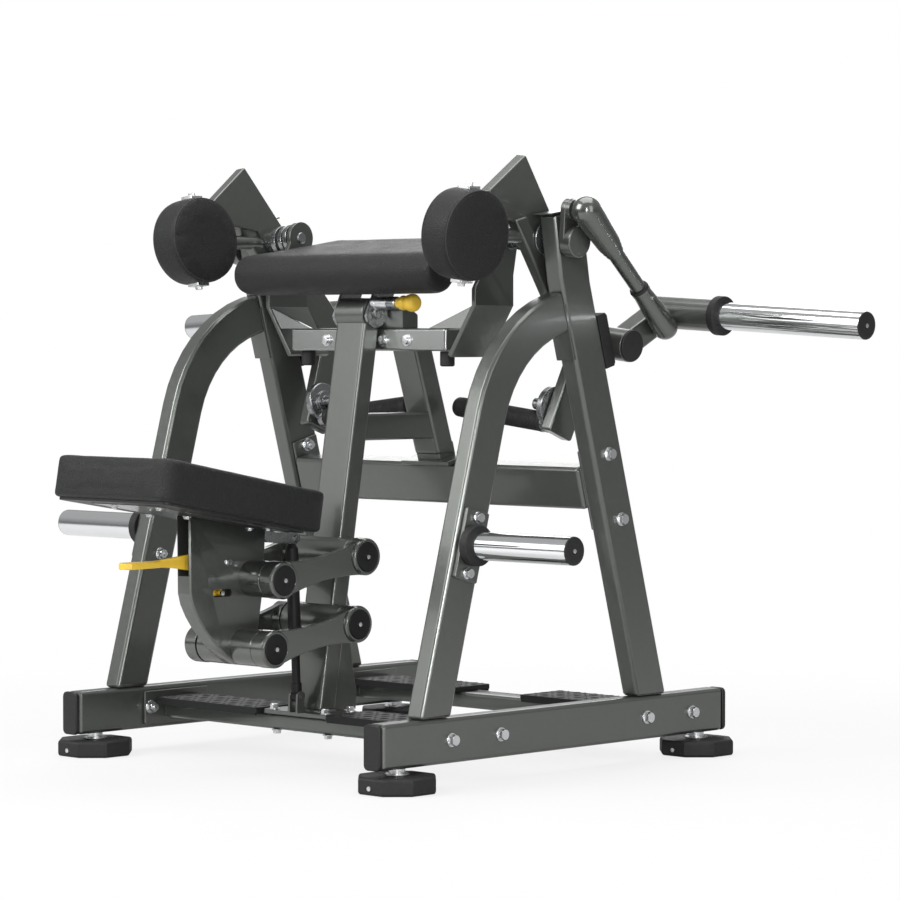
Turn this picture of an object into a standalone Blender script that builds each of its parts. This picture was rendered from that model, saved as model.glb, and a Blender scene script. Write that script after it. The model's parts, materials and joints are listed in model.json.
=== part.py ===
"""Plate-loaded biceps curl machine, in metres with +Z up. The user sits at -Y and faces +Y.

Sizes are measured in the workshop frame: X from the middle plane, Y from the front ends of
the two base beams, Z from the floor. Every piece hangs under one empty, which shifts the
machine so that the middle of its footprint is the origin. Each arm is modelled in its own
frame, whose X axis is the tilted elbow axis, and the left arm is the mirror of the right.
"""

import math

import bmesh
import bpy
import numpy as np
from mathutils import Matrix, Vector

# Fits
CLEAR = 0.0003
RUN = 0.0005
SINK = 0.001

# Roundness of turned pieces and of rounded edges
SIDES = 20
ARC_STEPS = 8
EDGE_ROUND = 0.005
EDGE_STEPS = 1

# Base beams and feet
BEAM_LENGTH = 0.922
BEAM_X = 0.402
BEAM_WIDTH = 0.040
BEAM_HEIGHT = 0.080
BEAM_BOTTOM = 0.042
BEAM_CAP = 0.010
FOOT_ACROSS = 0.134
FOOT_HEIGHT = 0.030
FOOT_INSET = 0.063
FOOT_STUB = 0.070

# Side frames, seen from the side
LEG_DEPTH = 0.074
FRONT_LEG_Y = 0.140
FRONT_LEG_LEAN = 15.2
ARCH_START = 0.545
ARCH_RADIUS = 0.254
ARCH_TURN = 58.8
REAR_LEG_DEPTH = 0.078
REAR_LEG_Y = 0.710
REAR_LEG_LEAN = 15.4
REAR_LEG_BEND_Z = 0.885
REAR_LEG_TOP_LEAN = 9.0
REAR_LEG_TOP_Z = 1.004
TOP_CAP = 0.004

# Cross members of the base
CROSS_HEIGHT = 0.030
CROSS_DEPTH = 0.060
CROSS_BOTTOM = 0.061
FRONT_CROSS_Y = 0.244
REAR_CROSS_INSET = 0.163
REAR_CROSS_Y = BEAM_LENGTH - REAR_CROSS_INSET
FLANGE_LENGTH = 0.160
FLANGE_HEIGHT = 0.062
FLANGE_THICK = 0.006
TREAD_THICK = 0.010
TREAD_LIP = 0.014
TREAD_OUTER_X = 0.374
TREAD_INNER_X = 0.092
FRONT_TREAD_DEPTH = 0.112
REAR_TREAD_DEPTH = 0.112
COLUMN_BASE_WIDTH = 0.170
COLUMN_BASE_DEPTH = 0.090
COLUMN_BASE_THICK = 0.008

# Upper cross beam between the rear legs
UPPER_BEAM_Z = 0.512
UPPER_BEAM_HEIGHT = 0.080
UPPER_BEAM_DEPTH = 0.040
UPPER_FLANGE_LENGTH = 0.150
UPPER_FLANGE_WIDTH = 0.064

# Centre frame
COLUMN_WIDTH = 0.076
COLUMN_DEPTH = 0.040
COLUMN_FOOT_Y = 0.246
COLUMN_LEAN = 9.2
HEAD_Z = 0.828
HEAD_RADIUS = 0.029
HEAD_BORE = 0.010
REAR_COLUMN_WIDTH = 0.064
REAR_COLUMN_DEPTH = 0.045
REAR_COLUMN_LEAN = 17.4
REAR_COLUMN_TOP_Z = 0.790
TIE_Z = 0.618
TIE_HEIGHT = 0.050
TIE_WIDTH = 0.056

# Yoke that carries the inner ends of the elbow shafts
YOKE_Y = 0.407
YOKE_DEPTH = 0.046
YOKE_BOTTOM = 0.759
YOKE_TOP = 0.801
YOKE_HALF = 0.206
PANEL_THICK = 0.010
PANEL_GAP = 0.006
PANEL_LOW_X = YOKE_HALF + PANEL_GAP
PANEL_FLARE = 0.061
PANEL_X = PANEL_LOW_X + PANEL_FLARE
PANEL_LOW_Z = 0.750
PANEL_FOLD_Z = 0.842
PANEL_FRONT = 0.387
PANEL_BACK = 0.488
LUG_RADIUS = 0.031
BUFFER_RADIUS = 0.0135
BUFFER_LENGTH = 0.028

# Elbow axis and the arm, in the arm's own frame
ELBOW_X = 0.372
ELBOW_Y = 0.472
ELBOW_Z = 0.964
ELBOW_TILT = 6.5
SHAFT_RADIUS = 0.012
SHAFT_TAIL = 0.002
SHAFT_LUG_GAP = 0.0101
SHAFT_COLLARS = ((0, 0.029), (0.157, 0.021), (0.255, 0.027), (0.42, 0.021), (0.519, 0.029), (0.7, 0.023))
PLATE_LEAN = 37.5
PLATE_MID = -0.017
PLATE_THICK = 0.023
PLATE_FRONT = 0.0714
PLATE_REAR = 0.0386
PLATE_UP = 0.155
PLATE_DOWN = 0.236
BAR_THICK = 0.025
BAR_MID = -0.0115
BAR_FRONT = 0.0484
BAR_REAR = 0.0210
BAR_UP = 0.074
LEVER_LEAN = 21.0
LEVER_WIDTH = 0.066
LEVER_LENGTH = 0.144
LEVER_CAP = 0.006
CROSS_TUBE_Y = 0.158
CROSS_TUBE_Z = -0.187
CROSS_TUBE_RADIUS = 0.030
CROSS_TUBE_END = 0.094
WEIGHT_ARM_INNER = 0.042
WEIGHT_ARM_OUTER = 0.084
WEIGHT_ARM_HEIGHT = 0.050
HORN_TUBE_RADIUS = 0.030
HORN_TUBE_X = 0.112
HORN_TUBE_Y = 0.273
HORN_TUBE_Z = -0.124
HORN_TUBE_START = -0.070
HORN_TUBE_END = 0.078
HORN_DROP = 3.2
HORN_RADIUS = 0.025
HORN_LENGTH = 0.343
HORN_RING_RADIUS = 0.036
HORN_RING_THICK = 0.016

# Brace from the elbow shaft to the weight arm
CRANK_INNER = 0.0585
CRANK_THICK = 0.012
CRANK_HUB_RADIUS = 0.029
CRANK_HUB_THICK = 0.026
BRACE_X = 0.105
BALL_Y = -0.013
BALL_Z = 0.057
BALL_RADIUS = 0.026
BALL_STUD_RADIUS = 0.019
BRACE_FOOT_Y = 0.228
BRACE_FOOT_Z = -0.150
BRACE_ROD_RADIUS = 0.012
BRACE_FOOT_RADIUS = 0.0205
BRACE_STUD_RADIUS = 0.011

# Round pad in front of the elbow
PAD_Y = -0.194
PAD_Z = 0.001
PAD_RADIUS = 0.080
PAD_MID = -0.0145
PAD_THICK = 0.070
STRAP_WIDTH = 0.030
STRAP_FLAT = 0.028
STRAP_THICK = 0.005
PAD_CORE_HALF = 0.012
PAD_CORE_THICK = 0.006
STEM_RADIUS = 0.013

# Swivelling hand grip at the lower end of the lever
SWIVEL_Y = 0.090
SWIVEL_Z = -0.312
SWIVEL_RADIUS = 0.0375
SWIVEL_THICK = 0.014
SWIVEL_COLLAR = 0.021
STUB_RADIUS = 0.011
STUB_LENGTH = 0.034
GRIP_DROP = 0.031
GRIP_RADIUS = 0.0185
GRIP_LENGTH = 0.225
GRIP_CORE = 0.0115
GRIP_WALL_END = 0.012

# Rubber stop on the rear leg
STOP_HEIGHT = 0.100
STOP_GAP = 0.0005

# Storage horns on the front legs
STORAGE_Z = 0.421
STORAGE_PLATE = 0.126
STORAGE_PLATE_WIDTH = 0.056
STORAGE_PLATE_THICK = 0.008
STORAGE_REACH = 0.672
STORAGE_RING_THICK = 0.018

# Seat linkage: rear pivots on the column, front pivots on the seat carriage
UPPER_PIVOT_Y = 0.284
UPPER_PIVOT_Z = 0.384
PIVOT_DROP_Y = -0.021
PIVOT_DROP_Z = -0.122
LINK_RUN_Y = -0.207
LINK_RUN_Z = -0.033
HUB_RADIUS = 0.033
EYE_RADIUS = 0.034
HUB_HALF = 0.072
EYE_THICK = 0.033
EYE_CAP = 0.005
WEB_THICK = 0.016
WEB_WAIST = 0.022
AXLE_RADIUS = 0.012

# Seat carriage, seen from the side
CARRIAGE_HALF = 0.018
CARRIAGE_WALL = 0.004
CARRIAGE_FRONT_Y = -0.070
CARRIAGE_BACK_Y = 0.112
SEAT_TILT = 10.0
SEAT_FRONT_Y = -0.240
SEAT_FRONT_Z = 0.572
SEAT_LENGTH = 0.405
SEAT_THICK = 0.068
SEAT_FRONT_HALF = 0.160
SEAT_REAR_HALF = 0.112
SEAT_CORNER = 0.050
SEAT_PLATE_THICK = 0.005
SEAT_PLATE_HALF = 0.085

# Gas spring under the seat
GAS_FOOT_Y = 0.205
GAS_FOOT_Z = 0.128
GAS_TOP_Y = 0.192
GAS_TOP_Z = 0.418
GAS_BODY_RADIUS = 0.011
GAS_BODY_LENGTH = 0.190
GAS_ROD_RADIUS = 0.0045
GAS_ROD_LENGTH = 0.215
GAS_EYE_RADIUS = 0.013
GAS_EYE_BORE = 0.0078
GAS_EYE_WIDTH = 0.012
GAS_PIN_RADIUS = 0.004
CLEVIS_WALL = 0.005

# Seat release lever
RELEASE_Y = 0.020
RELEASE_Z = 0.383
RELEASE_TIP_Y = -0.213
RELEASE_THICK = 0.006
RELEASE_PADDLE = 0.034
SLOT_LENGTH = 0.046
SLOT_HEIGHT = 0.014
SLOT_DROP = 0.055
SLOT_SET_BACK = -0.014

# Arm pad and its lock
ARM_PAD_GAP = 0.0035
ARM_PAD_HALF = PANEL_X - PANEL_THICK / 2 - ARM_PAD_GAP
ARM_PAD_ROLL_Y = 0.3195
ARM_PAD_ROLL_Z = 0.9005
ARM_PAD_ROLL = 0.0385
ARM_PAD_REAR_Y = 0.532
ARM_PAD_TILT = 9.2
ARM_PAD_REAR_THICK = 0.060
ARM_PAD_CHAMFER = 0.050
CHEEK_GAP = 0.0015
CHEEK_THICK = 0.006
CHEEK_RADIUS = 0.026
PAD_PLATE_HALF = 0.084
PAD_PLATE_START = 0.012
PLUNGER_Y = -0.004
PLUNGER_Z = 0.019
PLUNGER_RADIUS = 0.0055
PLUNGER_HOUSING = 0.060
KNOB_RADIUS = 0.0165
KNOB_LENGTH = 0.050


def clear_scene():
    for old in list(bpy.data.objects):
        bpy.data.objects.remove(old, do_unlink=True)


def finish(name, colour, roughness, metallic):
    """A plain material with the piece's colour, roughness and metallic value."""
    made = bpy.data.materials.new(name)
    made.use_nodes = True
    shader = made.node_tree.nodes["Principled BSDF"]
    shader.inputs["Base Color"].default_value = (*colour, 1)
    shader.inputs["Roughness"].default_value = roughness
    shader.inputs["Metallic"].default_value = metallic
    return made


def make_finishes():
    return {
        "paint": finish("frame_paint", (0.13, 0.145, 0.14), 0.38, 0.6),
        "leather": finish("black_leather", (0.025, 0.025, 0.026), 0.6, 0.0),
        "chrome": finish("chrome", (0.8, 0.8, 0.8), 0.1, 1.0),
        "zinc": finish("zinc", (0.6, 0.6, 0.6), 0.3, 1.0),
        "rubber": finish("black_rubber", (0.03, 0.03, 0.03), 0.75, 0.0),
        "plastic": finish("black_plastic", (0.035, 0.035, 0.036), 0.45, 0.0),
        "yellow": finish("yellow_plastic", (0.82, 0.55, 0.04), 0.4, 0.0),
        "steel": finish("dark_steel", (0.28, 0.28, 0.28), 0.35, 0.9),
    }


def direction(lean):
    """Unit (Y, Z) step of a member that leans forward from upright, in degrees."""
    return np.array([-math.sin(math.radians(lean)), math.cos(math.radians(lean))])


def normal_of(step):
    """The (Y, Z) step turned a quarter turn, so that upright gives the rear side."""
    return np.array([step[1], -step[0]])


def arc(centre, radius, start, end, steps=ARC_STEPS):
    """Points on a circle from one angle to another, in degrees, both ends included."""
    angles = np.radians(np.linspace(start, end, steps + 1))
    return [
        (centre[0] + radius * math.cos(a), centre[1] + radius * math.sin(a)) for a in angles
    ]


def prism(outline, low, high, plane="YZ"):
    """A flat outline carried straight from low to high along the third axis."""
    order = {"YZ": (2, 0, 1), "XZ": (0, 2, 1), "XY": (0, 1, 2)}[plane]
    solid = bmesh.new()
    rings = []
    for height in (low, high):
        ring = []
        for a, b in outline:
            flat = (a, b, height)
            ring.append(solid.verts.new([flat[i] for i in order]))
        rings.append(ring)
    solid.faces.new(rings[0])
    solid.faces.new(rings[1])
    count = len(outline)
    for i in range(count):
        j = (i + 1) % count
        solid.faces.new([rings[0][i], rings[0][j], rings[1][j], rings[1][i]])
    bmesh.ops.recalc_face_normals(solid, faces=solid.faces)
    return solid


def turned(profile, sides=SIDES):
    """A profile of (X, radius) points turned about X. A radius of 0 ends in a point."""
    solid = bmesh.new()
    rings = []
    for x, radius in profile:
        if radius == 0:
            rings.append([solid.verts.new((x, 0, 0))])
            continue
        angles = 2 * math.pi * np.arange(sides) / sides
        rings.append(
            [solid.verts.new((x, radius * math.cos(a), radius * math.sin(a))) for a in angles]
        )
    for ring in (rings[0], rings[-1]):
        if len(ring) > 1:
            solid.faces.new(ring)
    for one, two in zip(rings, rings[1:]):
        for i in range(sides):
            j = (i + 1) % sides
            corners = [one[i % len(one)], one[j % len(one)], two[j % len(two)], two[i % len(two)]]
            solid.faces.new(list(dict.fromkeys(corners)))
    bmesh.ops.recalc_face_normals(solid, faces=solid.faces)
    return solid


def rod(radius, low, high, edge=0.0, sides=SIDES):
    """A round bar along X, with its edges broken by a small chamfer."""
    if edge == 0:
        return turned([(low, radius), (high, radius)], sides)
    return turned(
        [(low, radius - edge), (low + edge, radius), (high - edge, radius), (high, radius - edge)],
        sides,
    )


def aim(step, at=(0, 0, 0)):
    """The matrix that carries +X to a direction and the origin to a point."""
    turn = Vector((1, 0, 0)).rotation_difference(Vector(step))
    return Matrix.Translation(at) @ turn.to_matrix().to_4x4()


def shape(solid, matrix=None):
    """A loose object from a bmesh, used as a blank for welding or cutting."""
    mesh = bpy.data.meshes.new("blank")
    solid.to_mesh(mesh)
    solid.free()
    if matrix:
        mesh.transform(matrix)
    made = bpy.data.objects.new("blank", mesh)
    bpy.context.scene.collection.objects.link(made)
    return made


def settle(piece):
    """Makes a piece's modifiers part of its mesh."""
    graph = bpy.context.evaluated_depsgraph_get()
    graph.update()
    mesh = bpy.data.meshes.new_from_object(piece.evaluated_get(graph))
    piece.modifiers.clear()
    piece.data = mesh
    return piece


def soften(piece, width=EDGE_ROUND, steps=EDGE_STEPS, angle=35):
    """Rounds the edges that are sharper than an angle."""
    bevel = piece.modifiers.new("rounded_edges", "BEVEL")
    bevel.width = width
    bevel.segments = steps
    bevel.limit_method = "ANGLE"
    bevel.angle_limit = math.radians(angle)
    return settle(piece)


def combine(piece, other, operation):
    change = piece.modifiers.new("shape", "BOOLEAN")
    change.operation = operation
    change.object = other
    change.solver = "EXACT"
    settle(piece)
    bpy.data.objects.remove(other, do_unlink=True)
    return piece


def weld(pieces):
    """Joins blanks that overlap into one solid."""
    whole = pieces[0]
    for other in pieces[1:]:
        combine(whole, other, "UNION")
    return whole


def cut(piece, *cutters):
    for cutter in cutters:
        combine(piece, cutter, "DIFFERENCE")
    return piece


def name_piece(piece, name, material, parent):
    """Names a finished solid, gives it its material and hangs it on its parent empty.

    The mesh is modelled in the workshop frame and is moved into the parent's frame here.
    """
    piece.name = name
    piece.data.name = name
    piece.data.materials.clear()
    piece.data.materials.append(material)
    piece.data.transform(parent["frame"].inverted())
    piece.parent = parent["empty"]
    piece.data.shade_smooth()
    piece.data.set_sharp_from_angle(angle=math.radians(32))
    return piece


def pivot(name, matrix, parent=None):
    """An empty on a joint's axis. Its frame is kept in workshop coordinates."""
    empty = bpy.data.objects.new(name, None)
    bpy.context.scene.collection.objects.link(empty)
    if parent:
        empty.parent = parent["empty"]
        empty.matrix_local = parent["frame"].inverted() @ matrix
    else:
        empty.matrix_local = matrix
    return {"empty": empty, "frame": matrix}


def mirrored(piece):
    """Turns a right-hand solid into the left-hand one."""
    piece.data.transform(Matrix.Diagonal((-1, 1, 1, 1)))
    piece.data.flip_normals()
    return piece


def sided(piece, side):
    return piece if side > 0 else mirrored(piece)


SIDE_NAMES = {1: "right", -1: "left"}


# Lines that several pieces share, all in the side view (Y, Z)
BEAM_TOP = BEAM_BOTTOM + BEAM_HEIGHT
BEAM_INNER = BEAM_X - BEAM_WIDTH / 2
BEAM_OUTER = BEAM_X + BEAM_WIDTH / 2
LEG_FOOT_Z = BEAM_TOP + CLEAR
CROSS_TOP = CROSS_BOTTOM + CROSS_HEIGHT


def rear_leg_line(offset, z):
    """Y of the rear leg's centre line, moved rearwards by an offset, at a height."""
    low = direction(REAR_LEG_LEAN)
    high = direction(REAR_LEG_TOP_LEAN)
    knee = REAR_LEG_Y + (REAR_LEG_BEND_Z - BEAM_TOP) * low[0] / low[1]
    if z <= REAR_LEG_BEND_Z:
        return REAR_LEG_Y + offset / low[1] + (z - BEAM_TOP) * low[0] / low[1]
    return knee + offset / high[1] + (z - REAR_LEG_BEND_Z) * high[0] / high[1]


def front_leg_edge(offset):
    """One long edge of the front leg, moved rearwards by an offset from the centre line.

    It rises straight, follows the arch and ends on the rear leg's front face.
    """
    lean = direction(-FRONT_LEG_LEAN)
    side = normal_of(lean)
    foot = np.array([FRONT_LEG_Y, BEAM_TOP])
    spring = foot + ARCH_START * lean
    centre = spring + ARCH_RADIUS * side
    foot_y = FRONT_LEG_Y + offset / lean[1] + CLEAR * lean[0] / lean[1]
    begin = 180 - FRONT_LEG_LEAN
    points = [(foot_y, LEG_FOOT_Z)]
    points += arc(centre, ARCH_RADIUS - offset, begin, begin - ARCH_TURN)
    last = np.array(points[-1])
    along = direction(-FRONT_LEG_LEAN - ARCH_TURN)
    front = -REAR_LEG_DEPTH / 2 - CLEAR
    low = direction(REAR_LEG_LEAN)
    gap = rear_leg_line(front, last[1]) - last[0]
    reach = gap / (along[0] - along[1] * low[0] / low[1])
    points.append(tuple(last + reach * along))
    return points


def column_line(offset, z):
    """Y of the front column's centre line, moved rearwards by an offset, at a height."""
    lean = direction(-COLUMN_LEAN)
    return COLUMN_FOOT_Y + offset / lean[1] + (z - CROSS_TOP) * lean[0] / lean[1]


HEAD_Y = column_line(0, HEAD_Z)


def rear_column_line(offset, z):
    lean = direction(REAR_COLUMN_LEAN)
    foot_y = upper_beam_centre()[0]
    return foot_y + offset / lean[1] + (z - UPPER_BEAM_Z) * lean[0] / lean[1]


def upper_beam_centre():
    """The upper cross beam lies inside the rear legs' depth, flush with their front."""
    front = -REAR_LEG_DEPTH / 2 + UPPER_BEAM_DEPTH / 2
    return rear_leg_line(front, UPPER_BEAM_Z), UPPER_BEAM_Z


def slanted_box(centre, lean, depth, height, low, high, edge=0.0):
    """A bar across X whose section is turned by a lean in the side view."""
    up = direction(lean)
    back = normal_of(up)
    corners = []
    for a, b in ((-1, -1), (1, -1), (1, 1), (-1, 1)):
        corners.append(tuple(np.array(centre) + a * depth / 2 * back + b * height / 2 * up))
    made = shape(prism(corners, low, high))
    return soften(made, edge) if edge else made


def block(low, high, edge=0.0, steps=EDGE_STEPS):
    """A box between two corners."""
    outline = [(low[0], low[1]), (high[0], low[1]), (high[0], high[1]), (low[0], high[1])]
    made = shape(prism(outline, low[2], high[2], "XY"))
    return soften(made, edge, steps) if edge else made


def base_beam(side, root, finishes):
    low = (side * BEAM_X - BEAM_WIDTH / 2, BEAM_CAP, BEAM_BOTTOM)
    high = (side * BEAM_X + BEAM_WIDTH / 2, BEAM_LENGTH - BEAM_CAP, BEAM_TOP)
    beam = block(low, high, EDGE_ROUND)
    name_piece(beam, f"base_beam_{SIDE_NAMES[side]}", finishes["paint"], root)


def beam_cap(side, end, root, finishes):
    """A moulded end cap, rounded where it faces outwards."""
    if end == "front":
        near, far = 0.0, BEAM_CAP - CLEAR
    else:
        near, far = BEAM_LENGTH - BEAM_CAP + CLEAR, BEAM_LENGTH
    half = BEAM_WIDTH / 2
    middle = (BEAM_BOTTOM + BEAM_TOP) / 2
    tall = BEAM_HEIGHT / 2
    corner = 0.009
    outline = []
    for a, b, start in ((1, 1, 0), (-1, 1, 90), (-1, -1, 180), (1, -1, 270)):
        centre = (side * BEAM_X + a * (half - corner), middle + b * (tall - corner))
        outline += arc(centre, corner, start, start + 90, 3)
    cap = soften(shape(prism(outline, near, far, "XZ")), 0.002, 1, 60)
    name_piece(cap, f"beam_cap_{end}_{SIDE_NAMES[side]}", finishes["plastic"], root)


def octagon(across):
    """Corner points of a regular octagon from its width over the flats."""
    reach = across / 2 / math.cos(math.pi / 8)
    angles = [math.pi / 8 + i * math.pi / 4 for i in range(8)]
    return [(reach * math.cos(a), reach * math.sin(a)) for a in angles]


def foot(side, end, root, finishes):
    """An eight-sided rubber foot with a sloping shoulder and a stub up to the beam."""
    y = FOOT_INSET if end == "front" else BEAM_LENGTH - FOOT_INSET
    pad = bmesh.new()
    rings = []
    shoulder = FOOT_ACROSS - 0.014
    levels = (
        (FOOT_ACROSS - 0.006, 0.0),
        (FOOT_ACROSS, 0.004),
        (FOOT_ACROSS, FOOT_HEIGHT - 0.011),
        (shoulder, FOOT_HEIGHT - 0.002),
        (shoulder - 0.006, FOOT_HEIGHT),
        (FOOT_STUB, FOOT_HEIGHT),
        (FOOT_STUB, BEAM_BOTTOM - CLEAR),
    )
    for across, z in levels:
        rings.append([pad.verts.new((x, b, z)) for x, b in octagon(across)])
    pad.faces.new(rings[0])
    pad.faces.new(rings[-1])
    for one, two in zip(rings, rings[1:]):
        for i in range(8):
            j = (i + 1) % 8
            pad.faces.new([one[i], one[j], two[j], two[i]])
    bmesh.ops.recalc_face_normals(pad, faces=pad.faces)
    made = shape(pad, Matrix.Translation((side * BEAM_X, y, 0)))
    name_piece(made, f"foot_{end}_{SIDE_NAMES[side]}", finishes["rubber"], root)


def front_leg(side, root, finishes):
    front = front_leg_edge(-LEG_DEPTH / 2)
    rear = front_leg_edge(LEG_DEPTH / 2)
    leg = soften(shape(prism(front + rear[::-1], BEAM_INNER, BEAM_OUTER)))
    name_piece(sided(leg, side), f"front_leg_{SIDE_NAMES[side]}", finishes["paint"], root)


def rear_leg_outline():
    half = REAR_LEG_DEPTH / 2
    top = direction(REAR_LEG_TOP_LEAN)
    bend = REAR_LEG_BEND_Z
    front = [(rear_leg_line(-half, z), z) for z in (LEG_FOOT_Z, bend, REAR_LEG_TOP_Z)]
    crown = np.array(front[-1]) + REAR_LEG_DEPTH * normal_of(top)
    rear = [tuple(crown), (rear_leg_line(half, bend), bend), (rear_leg_line(half, LEG_FOOT_Z), LEG_FOOT_Z)]
    return front + rear


def arm_frame_matrix(side):
    """The elbow axis: its X runs out of the machine on the right and into it on the left."""
    at = Matrix.Translation((side * ELBOW_X, ELBOW_Y, ELBOW_Z))
    return at @ Matrix.Rotation(math.radians(side * ELBOW_TILT), 4, "Y")


def shaft_hole(low, high):
    """A cutter along the right elbow axis, wide enough for the shaft to turn in."""
    return shape(rod(SHAFT_RADIUS + RUN, low, high), arm_frame_matrix(1))


def rear_leg(side, root, finishes):
    leg = soften(shape(prism(rear_leg_outline(), BEAM_INNER, BEAM_OUTER)))
    cut(leg, shaft_hole(-0.02, 0.09))
    name_piece(sided(leg, side), f"rear_leg_{SIDE_NAMES[side]}", finishes["paint"], root)


def base_cross(end, root, finishes):
    """A flat tube between the base beams, with a bolted flange at each end."""
    y = FRONT_CROSS_Y if end == "front" else REAR_CROSS_Y
    reach = BEAM_INNER - CLEAR
    tube = block(
        (-reach + FLANGE_THICK - SINK, y - CROSS_DEPTH / 2, CROSS_BOTTOM),
        (reach - FLANGE_THICK + SINK, y + CROSS_DEPTH / 2, CROSS_TOP),
        0.004,
    )
    parts = [tube]
    middle = (BEAM_BOTTOM + BEAM_TOP) / 2
    for side in (1, -1):
        inner = side * (reach - FLANGE_THICK)
        low_x, high_x = sorted((inner, side * reach))
        flange = block(
            (low_x, y - FLANGE_LENGTH / 2, middle - FLANGE_HEIGHT / 2),
            (high_x, y + FLANGE_LENGTH / 2, middle + FLANGE_HEIGHT / 2),
        )
        parts.append(flange)
    name_piece(weld(parts), f"base_cross_{end}", finishes["paint"], root)


def tread_plate(side, end, root, finishes):
    """A chequered foot plate with turned-down lips, resting on the cross tube."""
    y = FRONT_CROSS_Y if end == "front" else REAR_CROSS_Y
    depth = FRONT_TREAD_DEPTH if end == "front" else REAR_TREAD_DEPTH
    floor = CROSS_TOP + CLEAR
    inner, outer = TREAD_INNER_X, TREAD_OUTER_X
    top = block((inner, y - depth / 2, floor), (outer, y + depth / 2, floor + TREAD_THICK), 0.002, 1)
    parts = [top]
    for edge in (-1, 1):
        low_y, high_y = sorted((y + edge * depth / 2, y + edge * (depth / 2 - 0.005)))
        parts.append(
            block(
                (inner + 0.003, low_y, floor + TREAD_THICK - TREAD_LIP),
                (outer - 0.003, high_y, floor + SINK * 2),
            )
        )
    plate = sided(weld(parts), side)
    name_piece(plate, f"tread_{end}_{SIDE_NAMES[side]}", finishes["steel"], root)


def upper_cross_beam(root, finishes):
    """The deep tube between the rear legs, turned to their lean, with end flanges."""
    centre = upper_beam_centre()
    reach = BEAM_INNER - CLEAR
    parts = [
        slanted_box(
            centre,
            REAR_LEG_LEAN,
            UPPER_BEAM_DEPTH,
            UPPER_BEAM_HEIGHT,
            -reach + FLANGE_THICK - SINK,
            reach - FLANGE_THICK + SINK,
            EDGE_ROUND,
        )
    ]
    flange_y = rear_leg_line(0, UPPER_BEAM_Z)
    for side in (1, -1):
        low_x, high_x = sorted((side * (reach - FLANGE_THICK), side * reach))
        parts.append(
            slanted_box(
                (flange_y, UPPER_BEAM_Z),
                REAR_LEG_LEAN,
                UPPER_FLANGE_WIDTH,
                UPPER_FLANGE_LENGTH,
                low_x,
                high_x,
            )
        )
    name_piece(weld(parts), "upper_cross_beam", finishes["paint"], root)


def upright(line, low_z, high_z, half_depth, half_width, edge=EDGE_ROUND):
    """A leaning column between two heights, cut level at both ends."""
    outline = [
        (line(-half_depth, low_z), low_z),
        (line(half_depth, low_z), low_z),
        (line(half_depth, high_z), high_z),
        (line(-half_depth, high_z), high_z),
    ]
    return soften(shape(prism(outline, -half_width, half_width)), edge)


def seat_hub(y, z, half=HUB_HALF):
    return shape(rod(HUB_RADIUS, -half, half, 0.002), Matrix.Translation((0, y, z)))


def cross_bore(y, z, radius, half):
    return shape(rod(radius, -half, half), Matrix.Translation((0, y, z)))


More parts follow.
